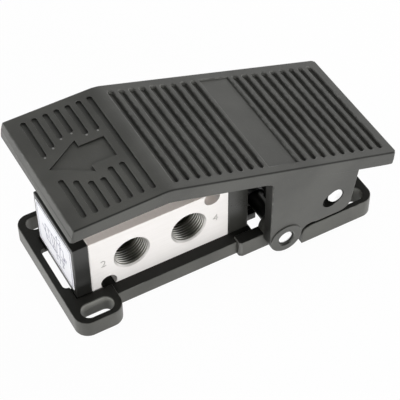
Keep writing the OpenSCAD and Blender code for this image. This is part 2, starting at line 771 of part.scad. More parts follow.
// Side view of the hollow under the tread plate
module hollow_profile() {
  x0 = toe_x + skirt_t;
  x1 = heel_x - skirt_t - heel_lean;
  band(x0, x1, plate_t, 2 * skirt_h);
}

// Side view of a rib from inside the plate to just above the skirt's edge
module rib_profile() {
  band(toe_x + skirt_t / 2, heel_x - skirt_t, bury, skirt_h - rib_rise);
}

// Side view of an ear: boss, plate and the round cut that clears the heel frame
module ear_profile() {
  foot_x = ear_rear_foot - ear_foot_r;
  foot_z = ear_foot_z + ear_foot_r;
  foot = [for (a = [0 : -15 : -90]) [foot_x + ear_foot_r * cos(a), foot_z + ear_foot_r * sin(a)]];
  head = [[ear_x0, hinge_z], [ear_x0, heel_line(ear_x0, bury)], [ear_rear_top, heel_line(ear_rear_top, bury)],
          [ear_rear_top, heel_line(ear_rear_top, skirt_h)]];
  corner_x = rear_x + rear_corner_r;
  web = [[corner_x, ear_foot_z], [corner_x, hinge_z - boss_web], [hinge_x, hinge_z - boss_web]];
  fillet_x = ear_x0 - ear_fillet_r;
  fillet_z = heel_line(ear_x0, skirt_h) - ear_fillet_r;
  difference() {
    union() {
      translate([hinge_x, hinge_z]) circle(r = boss_r);
      polygon(concat(head, foot, web));
      difference() {
        translate([fillet_x, fillet_z]) square([ear_fillet_r + eps, 2 * ear_fillet_r]);
        translate([fillet_x, fillet_z]) circle(r = ear_fillet_r);
      }
    }
    translate([corner_x, rear_h - rear_corner_r]) circle(r = rear_corner_r + corner_gap);
  }
}

// Both ears with their raised bosses
module ears() {
  both_sides() {
    side_prism(ear_in, ear_out) ear_profile();
    bar_y(hinge_x, hinge_z, ear_out - eps, ear_out + boss_proud, 2 * boss_r);
  }
}

// Bracket that carries one end of the roller pin
module roller_bracket() {
  x0 = roller_x - bracket_r;
  x1 = roller_x + bracket_r;
  side_prism(rib_in, rib_out) {
    translate([roller_x, axis_z]) circle(r = bracket_r);
    polygon([[x0, axis_z], [x0, heel_line(x0, bury)], [x1, heel_line(x1, bury)], [x1, axis_z]]);
  }
}

// Places its child on the sloping heel face or on the toe face, with X along the face
module on_heel() {
  translate([bend_x, 0, bend_z]) rotate([0, heel_a, 0]) children();
}
module on_toe() {
  translate([bend_x, 0, bend_z]) rotate([0, -toe_a, 0]) children();
}

// Groove across the pedal between two values of Y, cut into the face it is placed on
module groove(s, y0, y1, depth) {
  translate([s, (y0 + y1) / 2, -depth]) linear_extrude(depth + over) rotate(90) slot_2d(y1 - y0, groove_w);
}

// Tread of the heel part: grooves on each side of a plain sunk panel
module heel_tread() {
  on_heel() {
    for (i = [0 : groove_count - 1]) {
      groove(groove_start + i * groove_pitch, -tread_half, tread_half, groove_depth);
      groove(rear_start + i * groove_pitch, -tread_half, tread_half, groove_depth);
    }
    translate([panel_start, -tread_half, -mark_depth]) {
      cube([panel_end - panel_start, 2 * tread_half, mark_depth + over]);
    }
  }
}

// Tread of the toe part: sunk arrow, short slots beside it, one slot right across
module toe_tread() {
  on_toe() {
    groove(-toe_start, -tread_half, tread_half, mark_depth);
    both_sides() for (i = [1 : toe_count]) {
      s = toe_start + i * toe_pitch;
      groove(-s, toe_slot_end(s) - groove_w / 2, tread_half, mark_depth);
    }
    translate([0, 0, -mark_depth]) linear_extrude(mark_depth + over) {
      polygon([[-arrow_tip, 0], [-arrow_wing, arrow_wing_half], [-arrow_wing, arrow_shaft_half],
               [-arrow_end, arrow_shaft_half], [-arrow_end, -arrow_shaft_half],
               [-arrow_wing, -arrow_shaft_half], [-arrow_wing, -arrow_wing_half]]);
    }
  }
}

// Pedal plate with its edge, hollow underneath
module pedal_plate() {
  difference() {
    intersection() {
      side_prism(-pedal_side, pedal_side) plate_profile(skirt_h);
      translate([0, 0, heel_z - 3 * skirt_h]) linear_extrude(bend_z) {
        round_rect(toe_x - toe_lean, heel_x, -pedal_side, pedal_side, pedal_corner_r);
      }
    }
    side_prism(-pedal_side + skirt_t, pedal_side - skirt_t) hollow_profile();
  }
}

module pedal() {
  slot_back = cross_r - cross_slot;
  color(charcoal) difference() {
    union() {
      pedal_plate();
      both_sides() side_prism(rib_in, rib_out) rib_profile();
      both_sides() roller_bracket();
      ears();
    }
    heel_tread();
    toe_tread();
    bar_y(hinge_x, hinge_z, -pedal_w, pedal_w, hinge_pin_d + 2 * run_gap);
    bar_y(roller_x, axis_z, -rib_out - over, rib_out + over, roller_pin_d + 2 * hold_gap);
    both_sides() side_prism(ear_in - over, ear_out + over) {
      translate([hinge_x, hinge_z]) rotate(cross_a) {
        translate([(slot_back + cross_r) / 2, 0]) {
          slot_2d(cross_slot + cross_pin_d + 2 * hold_gap, cross_pin_d + 2 * hold_gap);
        }
      }
    }
  }
}

module hinge_pin() {
  reach = ear_out + boss_proud - pin_setback;
  color(steel) bar_y(hinge_x, hinge_z, -reach, reach, hinge_pin_d);
}

module cross_pin() {
  reach = ear_out - cross_setback;
  color(steel) bar_y(cross_pin_x, cross_pin_z, -reach, reach, cross_pin_d);
}

// Turns of the hinge spring, side by side from a value of Y outwards
module coil(y, turns) {
  translate([hinge_x, y, hinge_z]) rotate([-90, 0, 0]) rotate_extrude() {
    for (i = [0 : turns - 1]) translate([coil_r, i * coil_pitch]) circle(d = coil_wire_d, $fn = 16);
  }
}

// Straight leg that leaves the coil along its tangent, at an angle about the hinge
module coil_leg(y, angle, length) {
  translate([hinge_x, y, hinge_z]) rotate([0, -angle, 0]) translate([0, 0, coil_r]) rotate([0, 90, 0]) {
    cylinder(h = length, d = leg_d, $fn = 16);
  }
}

// Turns a leg over to the toe side of the hinge
module mirror_leg() {
  translate([2 * hinge_x, 0, 0]) mirror([1, 0, 0]) children();
}

module return_springs() {
  color(steel) both_sides() {
    coil(coil_y, coil_turns);
    mirror_leg() coil_leg(coil_y + (coil_turns - 1) * coil_pitch, -short_leg_a, short_leg);
  }
}

module return_spring_arms() {
  color(steel) both_sides() {
    coil(coil_y - coil_wire_d - side_gap, 1);
    coil_leg(coil_y - coil_wire_d - side_gap, arm_a, cross_r + long_leg_over);
  }
}

module striker_roller() {
  color(steel) difference() {
    bar_y(roller_x, axis_z, -roller_len / 2, roller_len / 2, roller_d);
    bar_y(roller_x, axis_z, -roller_len, roller_len, roller_pin_d + 2 * run_gap);
  }
}

module roller_pin() {
  color(steel) bar_y(roller_x, axis_z, -rib_out, rib_out, roller_pin_d);
}

base();
valve_body();
spring_end_cap();
actuator_end_cap();
spring_cap_seal();
actuator_cap_seal();
spring_cap_screws();
actuator_cap_screws();
body_screws();
spool();
spool_seals();
spool_spring();
spring_cup();
plunger();
plunger_bush();
plunger_seal();
pedal();
hinge_pin();
cross_pin();
return_springs();
return_spring_arms();
striker_roller();
roller_pin();
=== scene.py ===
"""Looks of a foot pedal air valve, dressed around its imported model.

Sizes are millimetres unless a name says metres. +Z is up, +X runs to the heel end of the pedal, and -Y is the
side of the valve block with the two outlet ports.
"""

import json
import logging
import math
from collections.abc import Callable, Sequence
from dataclasses import dataclass, field
from enum import Enum
from typing import Any, Optional, Union

import bmesh
import bpy
from mathutils import Matrix, Vector
from mathutils.bvhtree import BVHTree


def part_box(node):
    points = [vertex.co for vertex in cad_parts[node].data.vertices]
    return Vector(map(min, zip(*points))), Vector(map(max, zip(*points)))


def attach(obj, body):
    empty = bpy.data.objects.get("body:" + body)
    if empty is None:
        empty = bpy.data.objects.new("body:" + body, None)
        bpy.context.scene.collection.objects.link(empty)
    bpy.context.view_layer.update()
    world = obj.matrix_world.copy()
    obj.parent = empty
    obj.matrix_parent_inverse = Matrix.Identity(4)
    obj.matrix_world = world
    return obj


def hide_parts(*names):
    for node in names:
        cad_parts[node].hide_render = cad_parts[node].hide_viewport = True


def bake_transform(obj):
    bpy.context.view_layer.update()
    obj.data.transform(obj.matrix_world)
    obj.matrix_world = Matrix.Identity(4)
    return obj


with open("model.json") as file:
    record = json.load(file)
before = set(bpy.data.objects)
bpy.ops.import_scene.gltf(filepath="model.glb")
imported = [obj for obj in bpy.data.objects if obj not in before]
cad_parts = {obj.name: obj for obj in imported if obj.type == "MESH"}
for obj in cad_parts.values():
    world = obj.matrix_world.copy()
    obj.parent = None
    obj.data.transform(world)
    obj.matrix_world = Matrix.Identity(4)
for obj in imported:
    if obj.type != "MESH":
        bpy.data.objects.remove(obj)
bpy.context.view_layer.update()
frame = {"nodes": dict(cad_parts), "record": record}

LOG = logging.getLogger("pedal_valve")
MM = 0.001
TURN = 2 * math.pi
WHITE = (1, 1, 1, 1)

# Depth of the finest relief on a surface, in metres.
FINE = 0.00002

# Marks of the faces on rounded edges while a shape is being made: plain ones, and shaded ones whose middle
# gets a painted dark line of shade.
ROUNDED = 7
SHADED = 6

Colour = tuple[float, float, float]
Point = tuple[float, float, float]
Spot = tuple[float, float]
Number = Union[int, float]
Paint = bpy.types.Material
Face = bmesh.types.BMFace
Ring = list[bmesh.types.BMVert]
FaceTest = Callable[[Face], bool]
PointTest = Callable[[Vector], bool]


class Body(Enum):
    """The bodies that the pieces made here follow."""

    BASE = "base_group"
    PEDAL = "pedal_group"
    SPOOL = "spool_group"


class Slot(Enum):
    """The record's finish slots, which the pieces made here are passed with."""

    BASE_PAINT = "black_casting"
    PEDAL_PAINT = "pedal_casting"
    BLOCK = "bare_alloy"
    SPRING_CAP = "black_cap"
    ACTUATOR_CAP = "dark_cap"
    SCREW = "zinc_screw"
    WIRE = "spring_wire"
    PIN = "pin_steel"


class Axis(Enum):
    """The axes of the shared frame."""

    X = Vector((1, 0, 0))
    Y = Vector((0, 1, 0))
    Z = Vector((0, 0, 1))


def shade(colour: Colour, level: float) -> Colour:
    """Give a colour at a share of its brightness."""
    red, green, blue = colour
    return (level * red, level * green, level * blue)


def box_of(node: str) -> tuple[Vector, Vector]:
    """Give the lowest and the highest corner of a CAD node at rest, in millimetres."""
    low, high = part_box(node)
    return low / MM, high / MM


def on_outer_edge(point: Vector, low: Vector, high: Vector, slack: float = 0.01) -> bool:
    """Test whether a point is on two or more of a block's outer planes, given the block's corners."""
    near = sum(min(abs(point[i] - low[i]), abs(point[i] - high[i])) < slack for i in range(3))
    return near >= 2


def put_in_scene(name: str, data: bpy.types.ID) -> bpy.types.Object:
    """Put an object into the scene.

    Args:
        name: Its name.
        data: The mesh, camera or lamp that it shows.

    Returns:
        The object.
    """
    made = bpy.data.objects.new(name, data)
    bpy.context.scene.collection.objects.link(made)
    return made


class Value:
    """A value in a shader. Python's operators on it add Math nodes."""

    def __init__(self, sheet: "Sheet", socket: bpy.types.NodeSocket) -> None:
        """Keep the sheet and the output socket that gives the value."""
        self.sheet = sheet
        self.socket = socket

    def __add__(self, other: Union["Value", Number]) -> "Value":
        """Add."""
        return self.sheet.math("ADD", self, other)

    def __radd__(self, other: Number) -> "Value":
        """Add to a plain number."""
        return self.sheet.math("ADD", other, self)

    def __sub__(self, other: Union["Value", Number]) -> "Value":
        """Subtract."""
        return self.sheet.math("SUBTRACT", self, other)

    def __rsub__(self, other: Number) -> "Value":
        """Subtract from a plain number."""
        return self.sheet.math("SUBTRACT", other, self)

    def __mul__(self, other: Union["Value", Number]) -> "Value":
        """Multiply."""
        return self.sheet.math("MULTIPLY", self, other)

    def __rmul__(self, other: Number) -> "Value":
        """Multiply a plain number."""
        return self.sheet.math("MULTIPLY", other, self)

    def step(self, low: float, high: float) -> "Value":
        """Give a smooth step from 0 at low to 1 at high."""
        made = self.sheet.node("ShaderNodeMapRange", {"interpolation_type": "SMOOTHSTEP"},
                               {"Value": self, "From Min": low, "From Max": high})
        return Value(self.sheet, made.outputs["Result"])

    def at_most(self, other: Union["Value", Number]) -> "Value":
        """Give the lesser of two values."""
        return self.sheet.math("MINIMUM", self, other)

    def at_least(self, other: Union["Value", Number]) -> "Value":
        """Give the greater of two values."""
        return self.sheet.math("MAXIMUM", self, other)


class Sheet:
    """The node tree of a material or a world, cleared for one surface."""

    def __init__(self, owner: Union[bpy.types.Material, bpy.types.World]) -> None:
        """Clear the owner's nodes.

        Args:
            owner: The material or the world.
        """
        owner.use_nodes = True
        self.owner = owner
        self.tree = owner.node_tree
        self.tree.nodes.clear()

    def node(self, kind: str, settings: Optional[dict[str, Any]] = None,
             values: Optional[dict[Union[str, int], Any]] = None) -> bpy.types.Node:
        """Add one node.

        Args:
            kind: The node's type.
            settings: Its settings, set first.
            values: Numbers, colours or links for its sockets, by name or by index.

        Returns:
            The node.
        """
        made = self.tree.nodes.new(kind)
        for name, setting in (settings or {}).items():
            setattr(made, name, setting)
        for key, value in (values or {}).items():
            socket = made.inputs[key] if isinstance(key, int) else self._input(made, key)
            if isinstance(value, Value):
                value = value.socket
            if isinstance(value, bpy.types.NodeSocket):
                self.tree.links.new(value, socket)
            else:
                socket.default_value = value
        return made

    @staticmethod
    def _input(made: bpy.types.Node, name: str) -> bpy.types.NodeSocket:
        """Find the input of that name that is in use."""
        return next(s for s in made.inputs if s.name == name and s.enabled)

    def math(self, operation: str, *values: Union[Value, Number]) -> Value:
        """Add a Math node.

        Args:
            operation: Its operation.
            values: The values that it works on.

        Returns:
            Its result.
        """
        made = self.node("ShaderNodeMath", {"operation": operation}, dict(enumerate(values)))
        return Value(self, made.outputs["Value"])

    def tint(self, factor: Union[Value, Number], first: Any, second: Any) -> Value:
        """Mix two colours.

        Args:
            factor: Share of the second colour.
            first: A colour or a link.
            second: A colour or a link.

        Returns:
            The mixed colour.
        """
        ends = [(*c, 1) if isinstance(c, tuple) else c for c in (first, second)]
        made = self.node("ShaderNodeMix", {"data_type": "RGBA"},
                         {"Factor": factor, "A": ends[0], "B": ends[1]})
        return Value(self, next(s for s in made.outputs if s.enabled))

    def place(self, stretch: Point = (1, 1, 1)) -> Value:
        """Give the place on the piece, in metres.

        Args:
            stretch: How far it is stretched along each axis.

        Returns:
            The place.
        """
        where = self.node("ShaderNodeTexCoord").outputs["Object"]
        made = self.node("ShaderNodeVectorMath", {"operation": "MULTIPLY"}, {0: where, 1: stretch})
        return Value(self, made.outputs["Vector"])

    def noise(self, scale: float, detail: float = 2, rough: float = 0.5, stretch: Point = (1, 1, 1)) -> Value:
        """Give a soft noise.

        Args:
            scale: Cells for each metre.
            detail: Finer layers.
            rough: Weight of the finer layers.
            stretch: How the place is stretched first.

        Returns:
            The noise, about 0.5 on average.
        """
        made = self.node("ShaderNodeTexNoise", None, {
            "Vector": self.place(stretch), "Scale": scale, "Detail": detail, "Roughness": rough})
        return Value(self, made.outputs["Fac"])

    def upward(self) -> Value:
        """Give how far the surface looks up on the piece, from -1 to 1."""
        normal = self.node("ShaderNodeTexCoord").outputs["Normal"]
        return Value(self, self.node("ShaderNodeSeparateXYZ", None, {0: normal}).outputs["Z"])

    def attribute(self, name: str) -> Value:
        """Give a value that the mesh holds at its points."""
        made = self.node("ShaderNodeAttribute", {"attribute_name": name})
        return Value(self, made.outputs["Fac"])

    def bump(self, height: Value, strength: float, depth: float) -> Value:
        """Give the normal over a height.

        Args:
            height: Height from 0 to 1.
            strength: Share of the bump.
            depth: Depth of a full height in metres.

        Returns:
            The normal.
        """
        made = self.node("ShaderNodeBump", None, {"Height": height, "Strength": strength, "Distance": depth})
        return Value(self, made.outputs["Normal"])

    def rays(self, first: str, *others: str) -> Value:
        """Give 1 for rays of any of some kinds, and 0 for the rest.

        Args:
            first: A kind of ray, as an output of Light Path names it.
            others: More kinds.

        Returns:
            The 1 or 0.
        """
        path = self.node("ShaderNodeLightPath")
        result = Value(self, path.outputs[first])
        for other in others:
            result = result.at_least(Value(self, path.outputs[other]))
        return result

    def surface(self, **values: Any) -> Paint:
        """Close a material with a Principled shader.

        Args:
            values: Numbers, colours or links for the shader's sockets.

        Returns:
            The material.
        """
        named = {name.replace("_", " ").title().replace("Ior", "IOR"): value
                 for name, value in values.items()}
        shader = self.node("ShaderNodeBsdfPrincipled", None, named)
        self.node("ShaderNodeOutputMaterial", None, {"Surface": shader.outputs["BSDF"]})
        return self.owner


@dataclass(frozen=True)
class CastPaint:
    """Black stoved paint on a light alloy casting.

    Attributes:
        name: Name of the material.
        colour: Colour of the paint.
        thin_paint_and_highlight: Colour of edge wear on the rounded edges, which also stands as a painted
            highlight along them and along the grooves' ridges.
        gloss: Roughness of the paint.
        grain: Depth of the casting's grain under the paint, in metres.
        shine: Specular level of the paint.
        top_shade: How far painted shade darkens the faces that look up.
        shaded: Colour of the painted dark line of shade along the middle of a shaded edge.
        painted_shade: Colour of that painted shade on the faces that look up.
    """

    name: str
    colour: Colour
    thin_paint_and_highlight: Colour
    gloss: float = 0.4
    grain: float = 0.00006
    shine: float = 0.35
    top_shade: float = 0.0
    shaded: Colour = (0.008, 0.008, 0.007)
    painted_shade: Colour = (0.006, 0.006, 0.005)

    def make(self) -> Paint:
        """Build the material.

        Returns:
            The material.
        """
        sheet = Sheet(bpy.data.materials.new(self.name))
        cloud = sheet.noise(45, 3)
        peel = sheet.noise(1500)
        sand = sheet.noise(3800, 3, 0.6)
        fleck = sheet.noise(2300, 1).step(0.7, 0.78)
        edge = sheet.attribute("rub")
        rub = (edge * sheet.noise(260, 4, 0.65).step(0.42, 0.66)).at_least(0)
        dark = shade(self.colour, 0.8)
        tone = sheet.tint(cloud.step(0.3, 0.7), dark, shade(self.colour, 1.2))
        tone = sheet.tint(sand.step(0.35, 0.65) * 0.25, tone, dark)
        tone = sheet.tint(fleck * 0.3, tone, self.thin_paint_and_highlight)
        # Edge wear on the rounded edges, which is also a painted highlight along them and along the grooves'
        # ridges.
        tone = sheet.tint(rub * 0.7, tone, self.thin_paint_and_highlight)
        # A painted dark line of shade along the middle of the shaded edges.
        tone = sheet.tint((0 - edge).at_least(0) * 0.85, tone, self.shaded)
        gloss = self.gloss - 0.06 + cloud * 0.08 + sand * 0.06 - rub * 0.1
        # The faces that look up get painted shade, darker and less rough.
        if self.top_shade:
            top_shade = sheet.upward().step(0.55, 0.95) * self.top_shade
            tone = sheet.tint(top_shade, tone, self.painted_shade)
            gloss = gloss + top_shade * 0.35
        relief = sheet.bump(peel * 0.55 + sand * 0.45, 0.5, self.grain)
        return sheet.surface(base_color=tone, roughness=gloss, normal=relief, specular_ior_level=self.shine)


@dataclass(frozen=True)
class BrushedAlloy:
    """Bare aluminium with fine brush lines along X.

    Attributes:
        name: Name of the material.
        colour: Colour of the metal.
        gloss: Roughness of the metal.
        metal: How far the surface mirrors as bare metal rather than as a blasted, oxidised skin.
        warm_top_shade: How far the faces that look up take a pinkish painted shade and reflection of the
            pedal's underside.
        painted_shade: Colour of that painted shade and reflection.
    """

    name: str
    colour: Colour
    gloss: float = 0.46
    metal: float = 0.08
    warm_top_shade: float = 0.4
    painted_shade: Colour = (0.95, 0.78, 0.68)

    def make(self) -> Paint:
        """Build the material.

        Returns:
            The material.
        """
        sheet = Sheet(bpy.data.materials.new(self.name))
        lines = sheet.noise(1, 4, 0.7, (60, 2600, 2600))
        broad = sheet.noise(1, 2, 0.5, (25, 420, 420))
        stain = sheet.noise(70, 3, 0.55).step(0.45, 0.8)
        rub = sheet.attribute("rub")
        tone = sheet.tint(lines.step(0.3, 0.75), self.colour, shade(self.colour, 0.965))
        tone = sheet.tint(stain * 0.1, tone, shade(self.colour, 0.86))
        # Faces that look up get a pinkish painted shade and reflection.
        tone = sheet.tint(sheet.upward().step(0.5, 0.95) * self.warm_top_shade, tone, self.painted_shade)
        gloss = self.gloss - 0.07 + lines * 0.1 + broad * 0.05 - rub * 0.05
        relief = sheet.bump(lines * 0.7 + broad * 0.3, 0.25, FINE)
        return sheet.surface(base_color=tone, metallic=self.metal, roughness=gloss, normal=relief)


@dataclass(frozen=True)
class CutThread:
    """Thread cut in a bore, with painted shade on its dark flanks and painted highlights on its bright
    crests.

    Attributes:
        name: Name of the material.
        colour: Colour of the flanks, darkened as painted shade.
        crest: Colour of the crests, a painted highlight.
        gloss: Roughness of the metal.
    """

    name: str
    colour: Colour
    crest: Colour
    gloss: float = 0.34

    def make(self) -> Paint:
        """Build the material.

        Returns:
            The material.
        """
        sheet = Sheet(bpy.data.materials.new(self.name))
        chatter = sheet.noise(5200, 3, 0.6)
        smear = sheet.noise(420, 3)
        # Painted highlights on the crests.
        crest = sheet.attribute("rub").step(0.12, 0.6) * (0.7 + smear * 0.5)
        tone = sheet.tint(smear.step(0.3, 0.7), shade(self.colour, 0.7), self.colour)
        tone = sheet.tint(crest.at_most(1), tone, self.crest)
        gloss = self.gloss - 0.05 + chatter * 0.1
        relief = sheet.bump(chatter, 0.2, FINE)
        return sheet.surface(base_color=tone, metallic=1.0, roughness=gloss, normal=relief)


@dataclass(frozen=True)
class TurnedMetal:
    """Turned, drawn or plated metal with fine rings about its axis.

    Attributes:
        name: Name of the material.
        colour: Colour of the metal.
        gloss: Roughness of the metal.
        scale: Rings for each metre.
    """

    name: str
    colour: Colour
    gloss: float
    scale: float = 5200

    def make(self) -> Paint:
        """Build the material.

        Returns:
            The material.
        """
        sheet = Sheet(bpy.data.materials.new(self.name))
        rings = sheet.noise(self.scale, 3, 0.6, (0.25, 1, 0.25))
        cloud = sheet.noise(210, 3)
        tone = sheet.tint(cloud.step(0.35, 0.75), self.colour, shade(self.colour, 0.82))
        gloss = self.gloss - 0.05 + rings * 0.09 + cloud * 0.05
        relief = sheet.bump(rings, 0.2, FINE)
        return sheet.surface(base_color=tone, metallic=1.0, roughness=gloss, normal=relief)


@dataclass(frozen=True)
class Moulding:
    """Moulded plastic or rubber with a fine spark grain.

    Attributes:
        name: Name of the material.
        colour: Colour of the moulding.
        gloss: Roughness of the moulding.
        grain: Depth of the grain in metres.
    """

    name: str
    colour: Colour
    gloss: float
    grain: float = 0.00003

    def make(self) -> Paint:
        """Build the material.

        Returns:
            The material.
        """
        sheet = Sheet(bpy.data.materials.new(self.name))
        spark = sheet.noise(3300, 3, 0.6)
        cloud = sheet.noise(80, 3)
        rub = sheet.attribute("rub") * sheet.noise(300, 3).step(0.4, 0.7)
        tone = sheet.tint(cloud.step(0.35, 0.7), self.colour, shade(self.colour, 1.35))
        tone = sheet.tint(rub * 0.5, tone, tuple(c + 0.07 for c in self.colour))
        gloss = self.gloss - 0.05 + spark * 0.06 + cloud * 0.05
        relief = sheet.bump(spark, 0.4, self.grain)
        return sheet.surface(base_color=tone, roughness=gloss, normal=relief)


@dataclass(frozen=True)
class LabelPaper:
    """Coated label stock, or the ink on it.

    Attributes:
        name: Name of the material.
        colour: Colour of the paper or the ink.
        gloss: Least roughness of the coat.
    """

    name: str
    colour: Colour
    gloss: float = 0.42

    def make(self) -> Paint:
        """Build the material.

        Returns:
            The material.
        """
        sheet = Sheet(bpy.data.materials.new(self.name))
        fibre = sheet.noise(1900, 4, 0.65, (1, 1, 2.2))
        cloud = sheet.noise(60, 2)
        aged = fibre.step(0.35, 0.8) * 0.6 + cloud * 0.2
        tone = sheet.tint(aged, self.colour, shade(self.colour, 0.9))
        relief = sheet.bump(fibre, 0.15, FINE)
        return sheet.surface(base_color=tone, roughness=self.gloss + fibre * 0.1, normal=relief)


class Shape:
    """A mesh being made, in millimetres."""

    def __init__(self, name: str) -> None:
        """Start an empty shape."""
        self.name = name
        self.bm = bmesh.new()

    @classmethod
    def from_node(cls, name: str, node: str, merge: float = 0.06, flat_deg: float = 0.3) -> "Shape":
        """Start from a copy of a CAD node's mesh.

        Args:
            name: Name of the new piece.
            node: Name of the CAD node.
            merge: Distance under which points become one.
            flat_deg: Angle under which faces beside each other become one.

        Returns:
            The shape, with its flat faces whole again.
        """
        shape = cls(name)
        shape.bm.from_mesh(frame["nodes"][node].data)
        shape.bm.transform(Matrix.Scale(1 / MM, 4))
        bmesh.ops.remove_doubles(shape.bm, verts=shape.bm.verts[:], dist=merge)
        bmesh.ops.dissolve_limit(shape.bm, angle_limit=math.radians(flat_deg), verts=shape.bm.verts[:],
                                 edges=shape.bm.edges[:])
        return shape

    def soften(self, radius: float, where: PointTest, steps: int = 3, least_deg: float = 60) -> None:
        """Round the outer edges, less where the faces beside an edge are narrow.

        Args:
            radius: Size of the rounding.
            where: Test that both ends of an edge have to pass.
            steps: Faces across the rounding.
            least_deg: Least angle between an edge's faces.
        """
        least = math.radians(least_deg)
        for size in (radius, radius / 2, radius / 4):
            self.bm.normal_update()
            tree = BVHTree.FromBMesh(self.bm)
            edges = [e for e in self.bm.edges
                     if e.is_manifold and e.calc_face_angle_signed(0) > least
                     and all(where(v.co) for v in e.verts) and self._has_room(e, size, tree)]
            bmesh.ops.bevel(self.bm, geom=edges, offset=size, offset_type="OFFSET", segments=steps,
                            profile=0.5, affect="EDGES", clamp_overlap=False, material=ROUNDED)

    @staticmethod
    def _has_room(edge: bmesh.types.BMEdge, size: float, tree: BVHTree) -> bool:
        """Test whether the faces on both sides of an edge are wide enough for a rounding.

        Args:
            edge: The edge.
            size: Size of the rounding.
            tree: Surface of the shape.

        Returns:
            Whether the surface goes on beyond the rounding, near both ends and in the middle.
        """
        reach = 1.5 * size
        slack = 0.08 + 0.1 * size
        for loop in edge.link_loops:
            start, end = loop.vert.co, loop.link_loop_next.vert.co
            inward = loop.face.normal.cross(end - start).normalized()
            for share in (0.1, 0.5, 0.9):
                if tree.find_nearest(start.lerp(end, share) + reach * inward)[3] > slack:
                    return False
        return True

    def _circle(self, centre: Vector, first: Vector, second: Vector, radius: float, steps: int) -> Ring:
        """Add the points of a circle, from one direction towards another."""
        turns = [TURN * k / steps for k in range(steps)]
        return [self.bm.verts.new(centre + radius * (math.cos(a) * first + math.sin(a) * second))
                for a in turns]

    def ring(self, centre: Vector, axis: Vector, radius: float, steps: int) -> Ring:
        """Add the points of a circle about an axis.

        Args:
            centre: Middle of the circle.
            axis: Direction that it faces.
            radius: Its radius.
            steps: Its number of points.

        Returns:
            The points in order.
        """
        first = axis.orthogonal().normalized()
        second = axis.normalized().cross(first)
        return self._circle(centre, first, second, radius, steps)

    def bridge(self, lower: Ring, upper: Ring) -> None:
        """Join two closed rings of as many points with faces.

        Args:
            lower: One ring.
            upper: The other ring.
        """
        count = len(lower)
        for i in range(count):
            j = (i + 1) % count
            self.bm.faces.new((lower[i], lower[j], upper[j], upper[i]))

    def tube(self, rings: Sequence[Ring]) -> None:
        """Join closed rings in order, and close both ends.

        Args:
            rings: The rings, each of as many points.
        """
        for lower, upper in zip(rings, rings[1:]):
            self.bridge(lower, upper)
        self.bm.faces.new(list(reversed(rings[0])))
        self.bm.faces.new(rings[-1])

    def lathe(self, start: Vector, axis: Axis, profile: Sequence[Spot], steps: int = 48) -> None:
        """Turn a profile about an axis, closed at both ends.

        Args:
            start: Point on the axis that lengths are measured from.
            axis: The axis.
            profile: Pairs of length along the axis and radius.
            steps: Faces around.
        """
        way = axis.value
        self.tube([self.ring(start + along * way, way, radius, steps) for along, radius in profile])

    def sweep(self, path: Sequence[Vector], radius: float, sides: int = 14) -> None:
        """Run a round wire along a path, closed at both ends.

        Args:
            path: Points of its middle line.
            radius: Radius of the wire.
            sides: Faces around the wire.
        """
        rings: list[Ring] = []
        side = (path[1] - path[0]).orthogonal().normalized()
        for i, point in enumerate(path):
            ahead = (path[min(i + 1, len(path) - 1)] - path[max(i - 1, 0)]).normalized()
            side = (side - side.dot(ahead) * ahead).normalized()
            rings.append(self._circle(point, side, ahead.cross(side), radius, sides))
        self.tube(rings)

    def plate(self, outline: Sequence[Union[Point, Vector]], rise: Union[Point, Vector]) -> None:
        """Raise a flat outline into a plate.

        Args:
            outline: Corners of one face.
            rise: Offset of the other face.
        """
        lower = [self.bm.verts.new(p) for p in outline]
        upper = [self.bm.verts.new(Vector(p) + Vector(rise)) for p in outline]
        self.tube([lower, upper])

    def drop_faces(self, test: FaceTest) -> None:
        """Delete the faces that a test picks."""
        bmesh.ops.delete(self.bm, geom=[f for f in self.bm.faces if test(f)], context="FACES")

    def paint_faces(self, index: int, test: FaceTest) -> None:
        """Give some faces a material or a mark.

        Args:
            index: Index of the material, or the mark.
            test: Test that picks the faces.
        """
        for f in self.bm.faces:
            if test(f):
                f.material_index = index

    def write(self, text: str, size: float, depth: float, place: Matrix, index: int) -> None:
        """Add raised digits, closed all round.

        Args:
            text: The digits.
            size: Their size.
            depth: Half of their thickness.
            place: Where their middle goes.
            index: Material index of their faces.
        """
        curve = bpy.data.curves.new(self.name, "FONT")
        curve.body = text
        curve.size = size
        curve.extrude = depth
        curve.align_x, curve.align_y = "CENTER", "CENTER"
        curve.resolution_u = 4
        held = bpy.data.objects.new(self.name, curve)
        mesh = bpy.data.meshes.new_from_object(held)
        mesh.transform(place)
        self.bm.from_mesh(mesh)
        bmesh.ops.remove_doubles(self.bm, verts=self.bm.verts[:], dist=0.0005)
        bmesh.ops.recalc_face_normals(self.bm, faces=self.bm.faces[:])
        self.paint_faces(index, lambda f: True)
        bpy.data.objects.remove(held)
        bpy.data.curves.remove(curve)
        bpy.data.meshes.remove(mesh)

    def carve(self, cutter: "Shape") -> None:
        """Cut another closed shape out of this one.

        Args:
            cutter: The other shape, which is used up.
        """
        held = []
        for shape in (self, cutter):
            mesh = bpy.data.meshes.new(shape.name)
            for _ in range(ROUNDED + 1):
                mesh.materials.append(None)
            shape.bm.to_mesh(mesh)
            held.append(put_in_scene(shape.name, mesh))
        cut = held[0].modifiers.new("carve", "BOOLEAN")
        cut.operation, cut.solver, cut.object = "DIFFERENCE", "EXACT", held[1]
        graph = bpy.context.evaluated_depsgraph_get()
        result = bpy.data.meshes.new_from_object(held[0].evaluated_get(graph))
        self.bm.clear()
        self.bm.from_mesh(result)
        cutter.bm.free()
        bpy.data.meshes.remove(result)
        for made in held:
            mesh = made.data
            bpy.data.objects.remove(made)
            bpy.data.meshes.remove(mesh)

    @staticmethod
    def _wear_and_light(point: bmesh.types.BMVert) -> float:
        """Give 1 in the middle of a rounded edge, for edge wear and a painted highlight, -1 in the middle of
        a shaded one, for a painted dark line of shade, and 0 elsewhere.
        """
        marks = {f.material_index for f in point.link_faces}
        return float(marks == {ROUNDED}) - float(marks == {SHADED})

